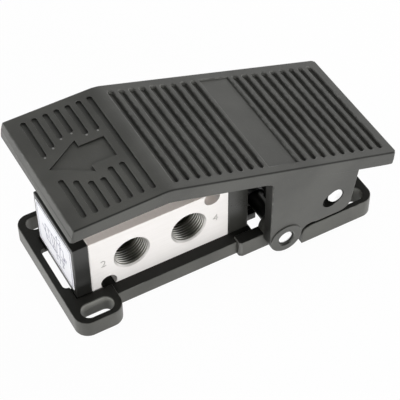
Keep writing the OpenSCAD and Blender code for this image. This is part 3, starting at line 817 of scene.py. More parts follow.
    def piece(self, body: Body, slot: Slot, paints: Sequence[Paint], replaces: Sequence[str] = (),
              sharp_deg: float = 38, wear: Optional[Sequence[float]] = None,
              far: Optional[Body] = None) -> bpy.types.Object:
        """Turn the shape into a piece that rides on a body.

        Args:
            body: The body.
            slot: Not used.
            paints: Its materials in order.
            replaces: CAD nodes that it stands for.
            sharp_deg: Least angle of an edge that stays sharp.
            wear: Wear and painted light at each point, if they aren't those of the rounded edges.
            far: Another body; when one is given, the piece keeps its place without being attached to a body.

        Returns:
            The piece.
        """
        bmesh.ops.recalc_face_normals(self.bm, faces=self.bm.faces[:])
        mesh = bpy.data.meshes.new(self.name)
        rub = wear or [self._wear_and_light(v) for v in self.bm.verts]
        for f in self.bm.faces:
            f.smooth = True
            f.material_index = 0 if f.material_index in (ROUNDED, SHADED) else f.material_index
        for e in self.bm.edges:
            e.smooth = e.is_manifold and e.calc_face_angle(0) < math.radians(sharp_deg)
        self.bm.transform(Matrix.Scale(MM, 4))
        self.bm.to_mesh(mesh)
        self.bm.free()
        mesh.attributes.new("rub", "FLOAT", "POINT").data.foreach_set("value", rub)
        for paint in paints:
            mesh.materials.append(paint)
        made = put_in_scene(self.name, mesh)
        weigh = made.modifiers.new("even_normals", "WEIGHTED_NORMAL")
        weigh.keep_sharp = True
        weigh.weight = 80
        if far:
            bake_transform(made)
        else:
            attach(made, body.value)
        if replaces:
            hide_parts(*replaces)
        LOG.info("%s: %d faces, on %s", made.name, len(mesh.polygons), body.value)
        return made


@dataclass(frozen=True)
class Finishes:
    """Every finish of the valve."""

    pedal: Paint
    recess: Paint
    groove: Paint
    chip: Paint
    base: Paint
    worn: Paint
    block: Paint
    chamfer: Paint
    thread: Paint
    spring_cap: Paint
    actuator_cap: Paint
    rubber: Paint
    screw: Paint
    spool: Paint
    wire: Paint
    brass: Paint
    pin: Paint
    shank: Paint
    label: Paint
    ink: Paint
    mark: Paint

    @classmethod
    def make(cls) -> "Finishes":
        """Build the materials.

        Returns:
            The finishes.
        """
        return cls(
            pedal=CastPaint("pedal_paint", (0.074, 0.074, 0.068), (0.19, 0.19, 0.18)).make(),
            # Dark paint laid as painted shade on the walls of slots, arrow, grooves and panel, the ears'
            # front ends and the cross pin's slot.
            recess=CastPaint("recess_paint", (0.02, 0.02, 0.018), (0.05, 0.05, 0.047)).make(),
            # Paint lighter than the pedal's, laid on the walls of the heel's grooves as painted light.
            groove=CastPaint("groove_paint", (0.13, 0.13, 0.12), (0.22, 0.22, 0.21)).make(),
            # Light paint laid in small discs as painted glints at the toe slots' ends.
            chip=CastPaint("chipped_paint", (0.25, 0.25, 0.24), (0.33, 0.33, 0.32)).make(),
            # The base's faces that look up get painted shade.
            base=CastPaint("base_paint", (0.088, 0.088, 0.079), (0.2, 0.2, 0.19), shine=0.3, top_shade=0.9).make(),
            # Lighter paint laid on the base's slot walls as painted light.
            worn=CastPaint("worn_paint", (0.3, 0.3, 0.275), (0.4, 0.4, 0.37), shine=0.3).make(),
            block=BrushedAlloy("brushed_alloy", (0.94, 0.91, 0.885)).make(),
            chamfer=BrushedAlloy("cut_chamfer", (0.78, 0.755, 0.73), gloss=0.34, metal=0.5, warm_top_shade=0.0).make(),
            thread=CutThread("cut_thread", (0.17, 0.167, 0.14), (0.95, 0.93, 0.89)).make(),
            spring_cap=Moulding("black_cap", (0.011, 0.011, 0.01), 0.3).make(),
            actuator_cap=Moulding("dark_cap", (0.025, 0.025, 0.022), 0.28).make(),
            rubber=Moulding("seal_rubber", (0.02, 0.02, 0.02), 0.62).make(),
            screw=TurnedMetal("zinc_plate", (0.74, 0.75, 0.77), 0.3).make(),
            spool=TurnedMetal("turned_alloy", (0.87, 0.87, 0.86), 0.26).make(),
            wire=TurnedMetal("spring_steel", (0.2, 0.2, 0.2), 0.36, scale=2600).make(),
            brass=TurnedMetal("turned_brass", (0.78, 0.6, 0.3), 0.28).make(),
            pin=TurnedMetal("bright_steel", (0.93, 0.93, 0.93), 0.25).make(),
            shank=TurnedMetal("oiled_steel", (0.1, 0.1, 0.095), 0.42).make(),
            label=LabelPaper("label_paper", (0.8, 0.8, 0.83)).make(),
            ink=LabelPaper("label_ink", (0.26, 0.26, 0.34)).make(),
            mark=BrushedAlloy("mark_floor", (0.6, 0.58, 0.56), gloss=0.5, metal=0.2, warm_top_shade=0.0).make())


@dataclass
class Pedal:
    """The treadle with its ears, grooves and arrow.

    Attributes:
        finishes: The finishes.
        edge_r: Rounding of the outer edges.
        groove_r: Rounding of the edges of the heel part's grooves.
        slot_r: Rounding of the edges of the toe part's slots, the arrow and the cross pin's slot.
        tread_half: Half width of the grooves.
        tread_x: Ends of the tread along X.
        tread_z: Least height of a point on the tread.
        toe_len: Length of the toe part, up to the bend.
        wall_h: Greatest height of a groove's wall.
        ear_depth: Distance from the grooves' ends to the ears' inner faces, with a little to spare.
        pin_slot: Length of the cross pin's slot beyond the pin, with a little to spare.
        chip_r: Radius of a painted glint at a slot's end.
        chip_h: Thickness of the disc that carries a painted glint.
        chip_in: Distance of a glint's middle from its slot's end, as a share of its radius.
        chip_sides: Sides of a glint's disc.
        slot_gap: Least distance between toe slots along X.
        pin: Place of the cross pin along X and Z, and its radius.
    """

    finishes: Finishes
    edge_r: float = 0.6
    groove_r: float = 0.6
    slot_r: float = 0.12
    tread_half: float = 24.2
    tread_x: Spot = (-57.0, 64.5)
    tread_z: float = 26.0
    toe_len: float = 34.5
    wall_h: float = 1.7
    ear_depth: float = 5.0
    pin_slot: float = 3.0
    chip_r: float = 0.42
    chip_h: float = 0.03
    chip_in: float = 0.8
    chip_sides: int = 10
    slot_gap: float = 2.0
    pin: Point = field(init=False)

    def __post_init__(self) -> None:
        """Find the cross pin."""
        low, high = box_of("cross_pin")
        self.pin = ((low.x + high.x) / 2, (low.z + high.z) / 2, (high.z - low.z) / 2)

    def build(self) -> None:
        """Round the casting's edges and dress it."""
        shape = Shape.from_node("pedal_casting", "pedal")
        bend = box_of("pedal")[0].x + self.toe_len
        # Painted glints at the inner ends of the toe slots.
        self._chip_slots(shape, bend)
        # Recess walls, the ears' front ends and the cross pin's slot get the dark paint as painted shade.
        for test in (self._is_recess_wall, self._is_ear_front, self._is_pin_slot):
            shape.paint_faces(1, test)
        shape.soften(self.edge_r, lambda p: self._outer(p) and not self._by_cross_pin(p), least_deg=40)
        shape.bm.normal_update()
        # The roundings along the long top edges get a painted dark line of shade.
        shape.paint_faces(SHADED, self._is_long_edge)
        # The walls of the heel's grooves get the lighter paint as painted light.
        shape.paint_faces(2, lambda f: f.material_index == 1 and f.calc_center_median().x > bend
                          and self._is_recess_wall(f))
        # The middle of each rounding on the grooves' ridges takes the lighter edge colour as a painted
        # highlight.
        shape.soften(self.groove_r, lambda p: self._inner(p) and p.x > bend)
        shape.soften(self.slot_r, lambda p: self._by_cross_pin(p) or self._inner(p) and p.x <= bend, steps=2)
        paints = [self.finishes.pedal, self.finishes.recess, self.finishes.groove]
        shape.piece(Body.PEDAL, Slot.PEDAL_PAINT, paints, ["pedal"])

    def _chip_slots(self, shape: Shape, bend: float) -> None:
        """Lay a painted glint, a flat disc of light paint, at the inner end of each toe slot on the +Y side.

        Args:
            shape: The pedal, with its edges still sharp.
            bend: Place of the bend along X.
        """
        shape.bm.normal_update()
        toe = [f for f in shape.bm.faces if f.calc_center_median().x < bend]
        up = max((f for f in toe if f.normal.z > 0.8), key=lambda f: f.calc_area()).normal.copy()
        ends = [f for f in toe if f.calc_center_median().y > 0 and f.normal.y > 0.9
                and self._is_recess_wall(f)]
        chips = Shape("slot_chips")
        tips: list[Vector] = []
        for face in sorted(ends, key=lambda f: -f.normal.y):
            tip = max((v.co.copy() for v in face.verts), key=lambda p: p.z)
            if all(abs(tip.x - other.x) > self.slot_gap for other in tips):
                tips.append(tip)
        across = Axis.Y.value
        along = across.cross(up)
        turns = [TURN * k / self.chip_sides for k in range(self.chip_sides)]
        for tip in tips:
            middle = tip - self.chip_in * self.chip_r * across - self.chip_h / 2 * up
            chips.plate([middle + self.chip_r * (math.cos(a) * along + math.sin(a) * across) for a in turns],
                        self.chip_h * up)
        chips.piece(Body.PEDAL, Slot.PEDAL_PAINT, [self.finishes.chip])

    def _outer(self, point: Vector) -> bool:
        """Test whether a point is on the outside of the pedal, clear of the tread."""
        toe, heel = self.tread_x
        return abs(point.y) > self.tread_half or point.x < toe or point.x > heel

    def _inner(self, point: Vector) -> bool:
        """Test whether a point is on the tread."""
        return not self._outer(point) and point.z > self.tread_z

    @staticmethod
    def _is_long_edge(face: Face) -> bool:
        """Test whether a face belongs to the rounding along a long top edge, which gets a painted dark line
        of shade.
        """
        x, y, z = face.normal
        return face.material_index == ROUNDED and z > 0.2 and abs(y) > 0.2 and abs(x) < 0.45

    def _is_ear_front(self, face: Face) -> bool:
        """Test whether a face is the front end of an ear, which gets painted shade."""
        middle = face.calc_center_median()
        return face.normal.x < -0.5 and middle.x > 0 and abs(middle.y) > self.tread_half - self.ear_depth

    def _by_cross_pin(self, point: Vector) -> bool:
        """Test whether a point is on the wall or the rim of the cross pin's slot.

        Args:
            point: The point.

        Returns:
            Whether it is on an ear and near the pin.
        """
        x, z, radius = self.pin
        off = math.hypot(point.x - x, point.z - z)
        return off < radius + self.pin_slot and abs(point.y) > self.tread_half - self.ear_depth

    def _is_pin_slot(self, face: Face) -> bool:
        """Test whether a face is the wall of the cross pin's slot, which gets painted shade."""
        return abs(face.normal.y) < 0.3 and self._by_cross_pin(face.calc_center_median())

    def _is_recess_wall(self, face: Face) -> bool:
        """Test whether a face is a wall of a slot, the arrow, a groove or the panel."""
        heights = [v.co.z for v in face.verts]
        return (abs(face.normal.z) < 0.6 and max(heights) - min(heights) < self.wall_h
                and self._inner(face.calc_center_median()))


@dataclass
class BaseCasting:
    """The cast base with its slots, hinge walls, hinge opening and heel tray.

    Attributes:
        finishes: The finishes.
        edge_r: Rounding of the edges.
        floor_z: Height up to which an edge lies on the floor and stays sharp.
        slot: Place of a slot's middle along X and Y.
        slot_half: Half length and half width of a slot, with a little to spare.
        wall_r: Rounding at the front end of a hinge wall.
        wall_x: Place of that end.
        wall_y: Distance of the hinge walls' outer faces from the middle.
        slack: How far a point may be off that end.
    """

    finishes: Finishes
    edge_r: float = 0.45
    floor_z: float = 0.05
    slot: Spot = (50.5, 22.5)
    slot_half: Spot = (6.2, 3.2)
    wall_r: float = 1.3
    wall_x: float = 5.6
    wall_y: float = 22.5
    slack: float = 0.1

    def build(self) -> None:
        """Round the casting's edges and dress it."""
        shape = Shape.from_node("base_casting", "base")
        # The slot walls get the lighter paint as painted light.
        shape.paint_faces(1, self._is_slot_wall)
        shape.soften(self.wall_r, self._is_wall_end, steps=5, least_deg=40)
        shape.soften(self.edge_r, lambda p: p.z > self.floor_z, least_deg=40)
        shape.piece(Body.BASE, Slot.BASE_PAINT, [self.finishes.base, self.finishes.worn], ["base"])

    def _is_slot_wall(self, face: Face) -> bool:
        """Test whether a face is a wall of a slot.

        Args:
            face: The face.

        Returns:
            Whether it is upright and inside a slot's outline.
        """
        middle = face.calc_center_median()
        inside = [abs(abs(middle[i]) - self.slot[i]) < self.slot_half[i] for i in range(2)]
        return abs(face.normal.z) < 0.1 and all(inside)

    def _is_wall_end(self, point: Vector) -> bool:
        """Test whether a point is on the upright edge at the front end of a hinge wall."""
        return abs(point.x - self.wall_x) < self.slack and abs(abs(point.y) - self.wall_y) < self.slack


@dataclass(frozen=True)
class ThreadCut:
    """How the thread of a port is cut.

    Attributes:
        pitch: Distance from one crest to the next.
        height: Depth of the thread.
        chamfer: Chamfer at the rim.
        around: Faces around the wall.
        along: Faces along the wall.
        flank: Slope of the flanks, in depths of the thread for each pitch.
        root: Depth at which the flanks would meet, as a share of the thread's. The root is flat at 1.
    """

    pitch: float
    height: float
    chamfer: float
    around: int
    along: int
    flank: float = 2.6
    root: float = 1.15

    def tooth(self, phase: float) -> float:
        """Give the thread's depth at a share of its pitch, from 0 at the crest to 1 at the root."""
        return min(1.0, max(0.0, self.root - abs(phase - 0.5) * self.flank))


@dataclass(frozen=True)
class Port:
    """A threaded port of the block.

    Attributes:
        name: Its name in the record.
        centre: Middle of its rim.
        side: Way that it faces along Y.
        radius: Radius of its drill.
    """

    name: str
    centre: Vector
    side: float
    radius: float

    def inward(self, point: Vector) -> float:
        """Give how deep in the port a point is."""
        return (self.centre.y - point.y) * self.side

    def off(self, point: Vector) -> float:
        """Give how far a point is from the port's middle line."""
        return math.hypot(point.x - self.centre.x, point.z - self.centre.z)

    def spot(self, inward: float, off: float, angle: float) -> Point:
        """Give the point at a depth, a distance from the middle line and an angle from +X towards +Z."""
        return (self.centre.x + off * math.cos(angle), self.centre.y - self.side * inward,
                self.centre.z + off * math.sin(angle))


@dataclass
class ValveBlock:
    """The ported block with its threads and port numbers.

    Attributes:
        finishes: The finishes.
        edge_r: Rounding of the edges.
        depth: Depth of a port.
        large: Thread of the large ports.
        small: Thread of the small ports.
        small_r: Drill radius under which a port is small.
        plain: Length without thread at a port's floor.
        fade: Length over which the thread runs out before that.
        rim: Least and greatest distance of a port's wall and chamfer from the drill's radius.
        slack: How far a face may be off a port's depth.
        bright: Share of the chamfer's depth that is bare metal.
        painted_shade_at: Angle of the painted shade on a port's crests, from +X towards +Z.
        painted_shade_narrow: How narrow that painted shade is.
        painted_shade_dim: How far that painted shade dims the crests.
        number_size: Size of the port numbers.
        number_depth: Depth of the port numbers.
        numbers: Each number with its place along X and Z and the way that its face looks along Y.
    """

    finishes: Finishes
    edge_r: float = 0.4
    depth: float = 8.0
    large: ThreadCut = ThreadCut(pitch=1.05, height=0.55, chamfer=1.05, around=72, along=112)
    small: ThreadCut = ThreadCut(pitch=0.907, height=0.45, chamfer=0.7, around=56, along=84)
    small_r: float = 5.0
    plain: float = 0.6
    fade: float = 0.8
    rim: Spot = (-0.15, 1.2)
    slack: float = 0.05
    bright: float = 0.7
    painted_shade_at: float = math.radians(-65)
    painted_shade_narrow: int = 3
    painted_shade_dim: float = 0.8
    number_size: float = 4.6
    number_depth: float = 0.18
    numbers: tuple[tuple[str, float, float, int], ...] = (
        ("2", -44.0, 18.5, -1), ("4", -0.5, 17.9, -1), ("3", -39.15, 27.4, 1), ("1", -22.15, 28.2, 1),
        ("5", -5.15, 27.4, 1))

    def build(self) -> None:
        """Round the block, cut its threads and mark its ports."""
        low, high = box_of("valve_body")
        ports = self._ports(low, high)
        shape = Shape.from_node("valve_block", "valve_body")
        shape.soften(self.edge_r, lambda p: on_outer_edge(p, low, high))
        self._engrave(shape, low, high)
        for port in ports:
            shape.drop_faces(lambda f: self._is_port_wall(f, port))
            # Each port's floor takes the thread's dark paint as painted shade.
            shape.paint_faces(1, lambda f: self._is_port_floor(f, port))
        paints = [self.finishes.block, self.finishes.thread, self.finishes.mark]
        shape.piece(Body.BASE, Slot.BLOCK, paints, ["valve_body"])
        for port in ports:
            self._thread(port)

    @staticmethod
    def _ports(low: Vector, high: Vector) -> list[Port]:
        """Find the ports in the record.

        Args:
            low: Lowest corner of the block.
            high: Highest corner of the block.

        Returns:
            The ports in the record's order.
        """
        ports = []
        for mount in frame["record"]["mounts"]:
            if mount["kind"] == "threaded_hole":
                centre = Vector(mount["pos_m"]) / MM
                side = mount["axis"][1]
                centre.y = low.y if side < 0 else high.y
                ports.append(Port(mount["name"], centre, side, mount["dims"]["r_mm"]))
        return ports

    def _is_port_wall(self, face: Face, port: Port) -> bool:
        """Test whether a face is the wall or the chamfer of a port.

        Args:
            face: The face.
            port: The port.

        Returns:
            Whether all its corners are there and it doesn't look along the port.
        """
        least, most = self.rim
        for v in face.verts:
            if not least <= port.off(v.co) - port.radius <= most:
                return False
            if not -self.slack < port.inward(v.co) < self.depth + self.slack:
                return False
        return abs(face.normal.y) < 0.9

    def _is_port_floor(self, face: Face, port: Port) -> bool:
        """Test whether a face is the floor of a port or the drill below it.

        Args:
            face: The face.
            port: The port.

        Returns:
            Whether its middle is below the port's wall and within the drill's radius.
        """
        middle = face.calc_center_median()
        deep = self.depth - 2 * self.slack < port.inward(middle) < abs(port.centre.y)
        return deep and port.off(middle) < port.radius

    def _engrave(self, shape: Shape, low: Vector, high: Vector) -> None:
        """Cut the port numbers into the block's two long faces.

        Args:
            shape: The block.
            low: Its lowest corner.
            high: Its highest corner.
        """
        for digit, x, z, side in self.numbers:
            y = low.y if side < 0 else high.y
            across = Vector((-side, 0, 0))
            turn = Matrix((across, Axis.Z.value, across.cross(Axis.Z.value))).transposed().to_4x4()
            cutter = Shape("number_" + digit)
            cutter.write(digit, self.number_size, self.number_depth, Matrix.Translation((x, y, z)) @ turn, 2)
            shape.carve(cutter)

    def _thread(self, port: Port) -> None:
        """Add the threaded wall of one port.

        Args:
            port: The port.
        """
        cut = self.small if port.radius < self.small_r else self.large
        shape = Shape(port.name + "_thread")
        rows: list[Ring] = []
        crests: list[float] = []
        for j in range(cut.along + 1):
            inward = self.depth * j / cut.along
            full = min(1.0, max(0.0, (self.depth - self.plain - inward) / self.fade))
            row: Ring = []
            for i in range(cut.around):
                angle = TURN * i / cut.around
                tooth = cut.tooth((inward / cut.pitch + i / cut.around) % 1)
                off = port.radius + max(cut.chamfer - inward, cut.height * tooth * full)
                # Crests carry painted highlights, dimmed by painted shade on one side of the port.
                painted_shade = max(0.0, math.cos(angle - self.painted_shade_at)) ** self.painted_shade_narrow
                crests.append((1 - tooth) ** 2 * (1 - self.painted_shade_dim * painted_shade))
                row.append(shape.bm.verts.new(port.spot(inward, off, angle)))
            rows.append(row)
        for lower, upper in zip(rows, rows[1:]):
            shape.bridge(lower, upper)
        shape.paint_faces(1, lambda f: port.inward(f.calc_center_median()) > cut.chamfer * self.bright)
        paints = [self.finishes.chamfer, self.finishes.thread]
        made = shape.piece(Body.BASE, Slot.BLOCK, paints, sharp_deg=60, wear=crests)
        self._face_inwards(made, port)

    @staticmethod
    def _face_inwards(made: bpy.types.Object, port: Port) -> None:
        """Turn the faces of a port's wall towards its middle line.

        Args:
            made: The wall.
            port: The port.
        """
        first = made.data.polygons[0]
        off = first.center / MM - port.centre
        off.y = 0
        if first.normal.dot(off) > 0:
            made.data.flip_normals()


@dataclass
class EndCaps:
    """The two end caps, and the label on the toe end.

    Attributes:
        finishes: The finishes.
        edge_r: Rounding of the caps' edges.
        label_beside: Border on both sides of the label.
        label_under: Border under the label.
        label_over: Border over the label.
        label_r: Corner radius of the label.
        label_t: Thickness of the label.
        corner_steps: Lines around a corner of the label.
    """

    finishes: Finishes
    edge_r: float = 0.4
    label_beside: float = 1.5
    label_under: float = 3.0
    label_over: float = 1.8
    label_r: float = 0.8
    label_t: float = 0.12
    corner_steps: int = 6

    def build(self) -> None:
        """Round the caps and put the label on."""
        self._cap("toe_cap", "spring_end_cap", self.finishes.spring_cap, Slot.SPRING_CAP)
        self._cap("plunger_cap", "actuator_end_cap", self.finishes.actuator_cap, Slot.ACTUATOR_CAP)
        self._label()

    def _cap(self, name: str, node: str, paint: Paint, slot: Slot) -> None:
        """Round and dress one cap.

        Args:
            name: Name of the new piece.
            node: The CAD node.
            paint: Its material.
            slot: The record's slot of its finish.
        """
        low, high = box_of(node)
        shape = Shape.from_node(name, node)
        shape.soften(self.edge_r, lambda p: on_outer_edge(p, low, high))
        shape.piece(Body.BASE, slot, [paint], [node])

    def _label(self) -> None:
        """Add the label on the toe cap's end face."""
        low, high = box_of("spring_end_cap")
        y0, y1 = low.y + self.label_beside, high.y - self.label_beside
        z0, z1 = low.z + self.label_under, high.z - self.label_over
        turn_r = self.label_r
        near, far, under, over = y0 + turn_r, y1 - turn_r, z0 + turn_r, z1 - turn_r
        outline = []
        for y, z, start in ((far, over, 0), (near, over, 90), (near, under, 180), (far, under, 270)):
            for k in range(self.corner_steps + 1):
                angle = math.radians(start + 90 * k / self.corner_steps)
                outline.append((low.x, y + turn_r * math.cos(angle), z + turn_r * math.sin(angle)))
        shape = Shape("toe_label")
        shape.plate(outline, (-self.label_t, 0, 0))
        shape.piece(Body.BASE, Slot.SPRING_CAP, [self.finishes.label])
        middle = Vector((low.x - self.label_t, (y0 + y1) / 2, (z0 + z1) / 2))
        LabelPrint(self.finishes, middle, y1 - y0, z1 - z0).build()


@dataclass
class LabelPrint:
    """Print on the toe label: the plain symbol of a valve with two places and its port numbers.

    Places on the label are measured to the right and up from its middle, as seen from the toe end.

    Attributes:
        finishes: The finishes.
        middle: Middle of the label's face.
        width: Width of the label.
        height: Height of the label.
        line: Width of a line.
        ink_t: Thickness of the ink.
        border: Distance of the printed frame from the label's edge.
        box: Width of each of the symbol's two boxes.
        head: Length of an arrow's head.
        head_slim: Length of an arrow's head over half of its width.
        digit: Size of the port numbers.
        digit_off: Distance of the port numbers from a box, as a share of their size.
        exits: Places of the three lower ports in a box.
        outlets: Places of the two upper ports in a box.
        bar: Half length of the bar over a shut port.
        bar_up: Height of that bar over a quarter of the box.
        coil_step: Width of each line of the spring's zigzag.
        coil_half: Half height of that zigzag.
        coil_lines: Its number of lines.
        lever: Half width and half height of the pedal's sloping line.
        lever_off: Distance of that line's middle from the boxes.
        lever_up: Height of that line's middle.
    """

    finishes: Finishes
    middle: Vector
    width: float
    height: float
    line: float = 0.34
    ink_t: float = 0.03
    border: float = 1.0
    box: float = 7.2
    head: float = 1.5
    head_slim: float = 3.0
    digit: float = 3.4
    digit_off: float = 0.6
    exits: tuple[float, float, float] = (-2.4, 0.0, 2.4)
    outlets: Spot = (-1.3, 1.3)
    bar: float = 0.8
    bar_up: float = 0.4
    coil_step: float = 0.55
    coil_half: float = 0.9
    coil_lines: int = 4
    lever: float = 1.0
    lever_off: float = 1.4
    lever_up: float = 0.4

    def build(self) -> None:
        """Print the frame, the symbol and the numbers."""
        shape = Shape("label_print")
        half = self.box / 2
        self._numbers(shape)
        self._rectangle(shape, 0, self.width / 2 - self.border, self.height / 2 - self.border)
        for place, flow in ((-half, 1), (half, -1)):
            outlet, exit_port = flow * self.outlets[1], flow * self.exits[2]
            self._rectangle(shape, place, half, half)
            self._arrow(shape, (place, -half), (place - outlet, half))
            self._arrow(shape, (place + outlet, half), (place + exit_port, -half))
            self._shut_port(shape, place - exit_port)
        zigzag = [(self.box + self.coil_step * k, (-1) ** k * self.coil_half)
                  for k in range(self.coil_lines + 1)]
        for first, second in zip(zigzag, zigzag[1:]):
            self._stroke(shape, first, second)
        right, rise = -self.box - self.lever_off, self.lever_up
        self._stroke(shape, (right - self.lever, rise + self.lever), (right + self.lever, rise - self.lever))
        self._stroke(shape, (right, rise), (-self.box, rise))
        shape.piece(Body.BASE, Slot.SPRING_CAP, [self.finishes.ink])

    def _numbers(self, shape: Shape) -> None:
        """Print the number of each port under and over the right box.

        Args:
            shape: The print.
        """
        half = self.box / 2
        turn = Matrix((-Axis.Y.value, Axis.Z.value, -Axis.X.value)).transposed().to_4x4()
        for digits, places, side in (("513", self.exits, -1), ("42", self.outlets, 1)):
            rise = side * (half + self.digit * self.digit_off)
            for digit, place in zip(digits, places):
                spot = Matrix.Translation(self._spot(half + place, rise))
                shape.write(digit, self.digit, self.ink_t, spot @ turn, 0)

    def _shut_port(self, shape: Shape, right: float) -> None:
        """Print a short line from the lower side of a box to a bar.

        Args:
            shape: The print.
            right: Place of the line.
        """
        half = self.box / 2
        rise = self.bar_up - half / 2
        self._stroke(shape, (right, -half), (right, rise))
        self._stroke(shape, (right - self.bar, rise), (right + self.bar, rise))

    def _spot(self, right: float, rise: float) -> Vector:
        """Give the point at a place on the label."""
        return self.middle + Vector((0, -right, rise))

    def _inked(self, shape: Shape, corners: Sequence[Sequence[float]]) -> None:
        """Print an area."""
        outline = [self._spot(*corner) + Vector((self.ink_t, 0, 0)) for corner in corners]
        shape.plate(outline, (-2 * self.ink_t, 0, 0))

    def _stroke(self, shape: Shape, start: Spot, end: Spot) -> None:
        """Print a line.

        Args:
            shape: The print.
            start: One end of the line.
            end: Its other end.
        """
        along = (Vector(end) - Vector(start)).normalized() * self.line / 2
        side = along.orthogonal()
        first, last = Vector(start) - along, Vector(end) + along
        self._inked(shape, (first - side, last - side, last + side, first + side))

    def _rectangle(self, shape: Shape, right: float, half_w: float, half_h: float) -> None:
        """Print the outline of a rectangle.

        Args:
            shape: The print.
            right: Place of its middle, at half height.
            half_w: Half of its width.
            half_h: Half of its height.
        """
        left_x, right_x = right - half_w, right + half_w
        corners = [(left_x, -half_h), (right_x, -half_h), (right_x, half_h), (left_x, half_h)]
        for first, second in zip(corners, corners[1:] + corners[:1]):
            self._stroke(shape, first, second)

    def _arrow(self, shape: Shape, start: Spot, end: Spot) -> None:
        """Print a line with a filled head.

        Args:
            shape: The print.
            start: Start of the line.
            end: Tip of the head.
        """
        along = (Vector(end) - Vector(start)).normalized() * self.head
        side = along.orthogonal() / self.head_slim
        back = Vector(end) - along
        self._stroke(shape, start, tuple(back))
        self._inked(shape, (back - side, Vector(end), back + side))


@dataclass
class Pins:
    """Hinge pin, cross pin and roller pin, each with chamfered bright ends and an oiled shank.

    Attributes:
        finishes: The finishes.
        chamfer: Chamfer at each end.
        crown: How far the chamfer's inner edge stands back from the middle of an end.
    """

    finishes: Finishes
    chamfer: float = 0.35
    crown: float = 0.05

    def build(self) -> None:
        """Turn the pins."""
        self._pin("hinge_pin", Body.BASE)
        self._pin("cross_pin", Body.PEDAL)
        self._pin("roller_pin", Body.PEDAL)

    def _pin(self, node: str, body: Body) -> None:
        """Turn one pin.

        Args:
            node: The CAD node.
            body: The body that it rides on.
        """
        low, high = box_of(node)
        middle = (low + high) / 2
        radius = (high.x - low.x) / 2
        length = high.y - low.y
        rim = radius - self.chamfer
        shank = length / 2 - self.chamfer
        shape = Shape(node + "_turned")
        shape.lathe(Vector((middle.x, low.y, middle.z)), Axis.Y, [
            (0, radius / 2), (self.crown, rim), (self.chamfer, radius),
            (length - self.chamfer, radius), (length - self.crown, rim), (length, radius / 2)])
        shape.paint_faces(1, lambda f: abs(f.calc_center_median().y - middle.y) < shank)
        shape.piece(body, Slot.PIN, [self.finishes.pin, self.finishes.shank], [node], sharp_deg=25)


@dataclass(frozen=True)
class ScrewSize:
    """Sizes of a socket head screw.

    Attributes:
        head_r: Radius of the head.
        head_h: Height of the head.
        shank_r: Radius of the shank.
    """

    head_r: float
    head_h: float
    shank_r: float


@dataclass
class Screws:
    """Socket head screws of the caps and of the base.

    Attributes:
        finishes: The finishes.
        cap: Size of a cap screw.
        base: Size of a base screw.
        socket: Radius to the hexagon's corners, as a share of the head's radius.
        socket_h: Depth of the hexagon, as a share of the head's height.
        head_chamfer: Chamfer of the head.
        tip_chamfer: Chamfer of the tip.
        steps: Faces around.
    """

    finishes: Finishes
    cap: ScrewSize = ScrewSize(head_r=2.7, head_h=2.0, shank_r=1.5)
    base: ScrewSize = ScrewSize(head_r=3.5, head_h=2.6, shank_r=2.0)
    socket: float = 0.52
    socket_h: float = 0.55
    head_chamfer: float = 0.35
    tip_chamfer: float = 0.4
    steps: int = 36

    def build(self) -> None:
        """Make each group of screws."""
        self._group("spring_cap_screws", Axis.X, False, self.cap)
        self._group("actuator_cap_screws", Axis.X, True, self.cap)
        self._group("body_screws", Axis.Z, False, self.base)

    def _group(self, node: str, axis: Axis, flip: bool, size: ScrewSize) -> None:
        """Make the two screws of one CAD node.

        Args:
            node: The CAD node.
            axis: Axis that the screws run along.
            flip: Whether the heads are at the far end.
            size: Size of the screws.
        """
        low, high = box_of(node)
        middle = (low + high) / 2
        way = axis.value * (-1 if flip else 1)
        shape = Shape(node + "_socket")
        for sign in (-1, 1):
            if axis is Axis.X:
                start = Vector((high.x if flip else low.x, sign * (high.y - size.head_r), middle.z))
                length = high.x - low.x
            else:
                start = Vector((middle.x + sign * (high.x - middle.x - size.head_r), 0, low.z))
                length = high.z - low.z
            self._screw(shape, start, way, length, size)
        shape.piece(Body.BASE, Slot.SCREW, [self.finishes.screw], [node], sharp_deg=30)

    def _screw(self, shape: Shape, start: Vector, way: Vector, length: float, size: ScrewSize) -> None:
        """Add one screw with a hexagon socket in its head.

        Args:
            shape: The screws.
            start: Middle of the head's end.
            way: Direction from the head to the tip.
            length: Length over all.
            size: Size of the screw.
        """
        rings = [self._hexagon(shape, start + along * way, way, size.head_r * self.socket)
                 for along in (size.head_h * self.socket_h, 0)]
        rings += [shape.ring(start + along * way, way, radius, self.steps) for along, radius in (
            (0, size.head_r - self.head_chamfer), (self.head_chamfer, size.head_r),
            (size.head_h, size.head_r), (size.head_h, size.shank_r),
            (length - self.tip_chamfer, size.shank_r), (length, size.shank_r - self.tip_chamfer))]
        shape.tube(rings)

    def _hexagon(self, shape: Shape, centre: Vector, way: Vector, radius: float) -> Ring:
        """Add a hexagon of as many points as the screw's circles.

        Args:
            shape: The screws.
            centre: Middle of the hexagon.
            way: Direction that it faces.
            radius: Radius to its corners.

        Returns:
            The points in order.
        """
        ring = shape.ring(centre, way, 1.0, self.steps)
        for k, v in enumerate(ring):
            angle = (TURN * k / self.steps) % (TURN / 6) - TURN / 12
            reach = radius * math.cos(TURN / 12) / math.cos(angle)
            v.co = centre + (v.co - centre) * reach
        return ring


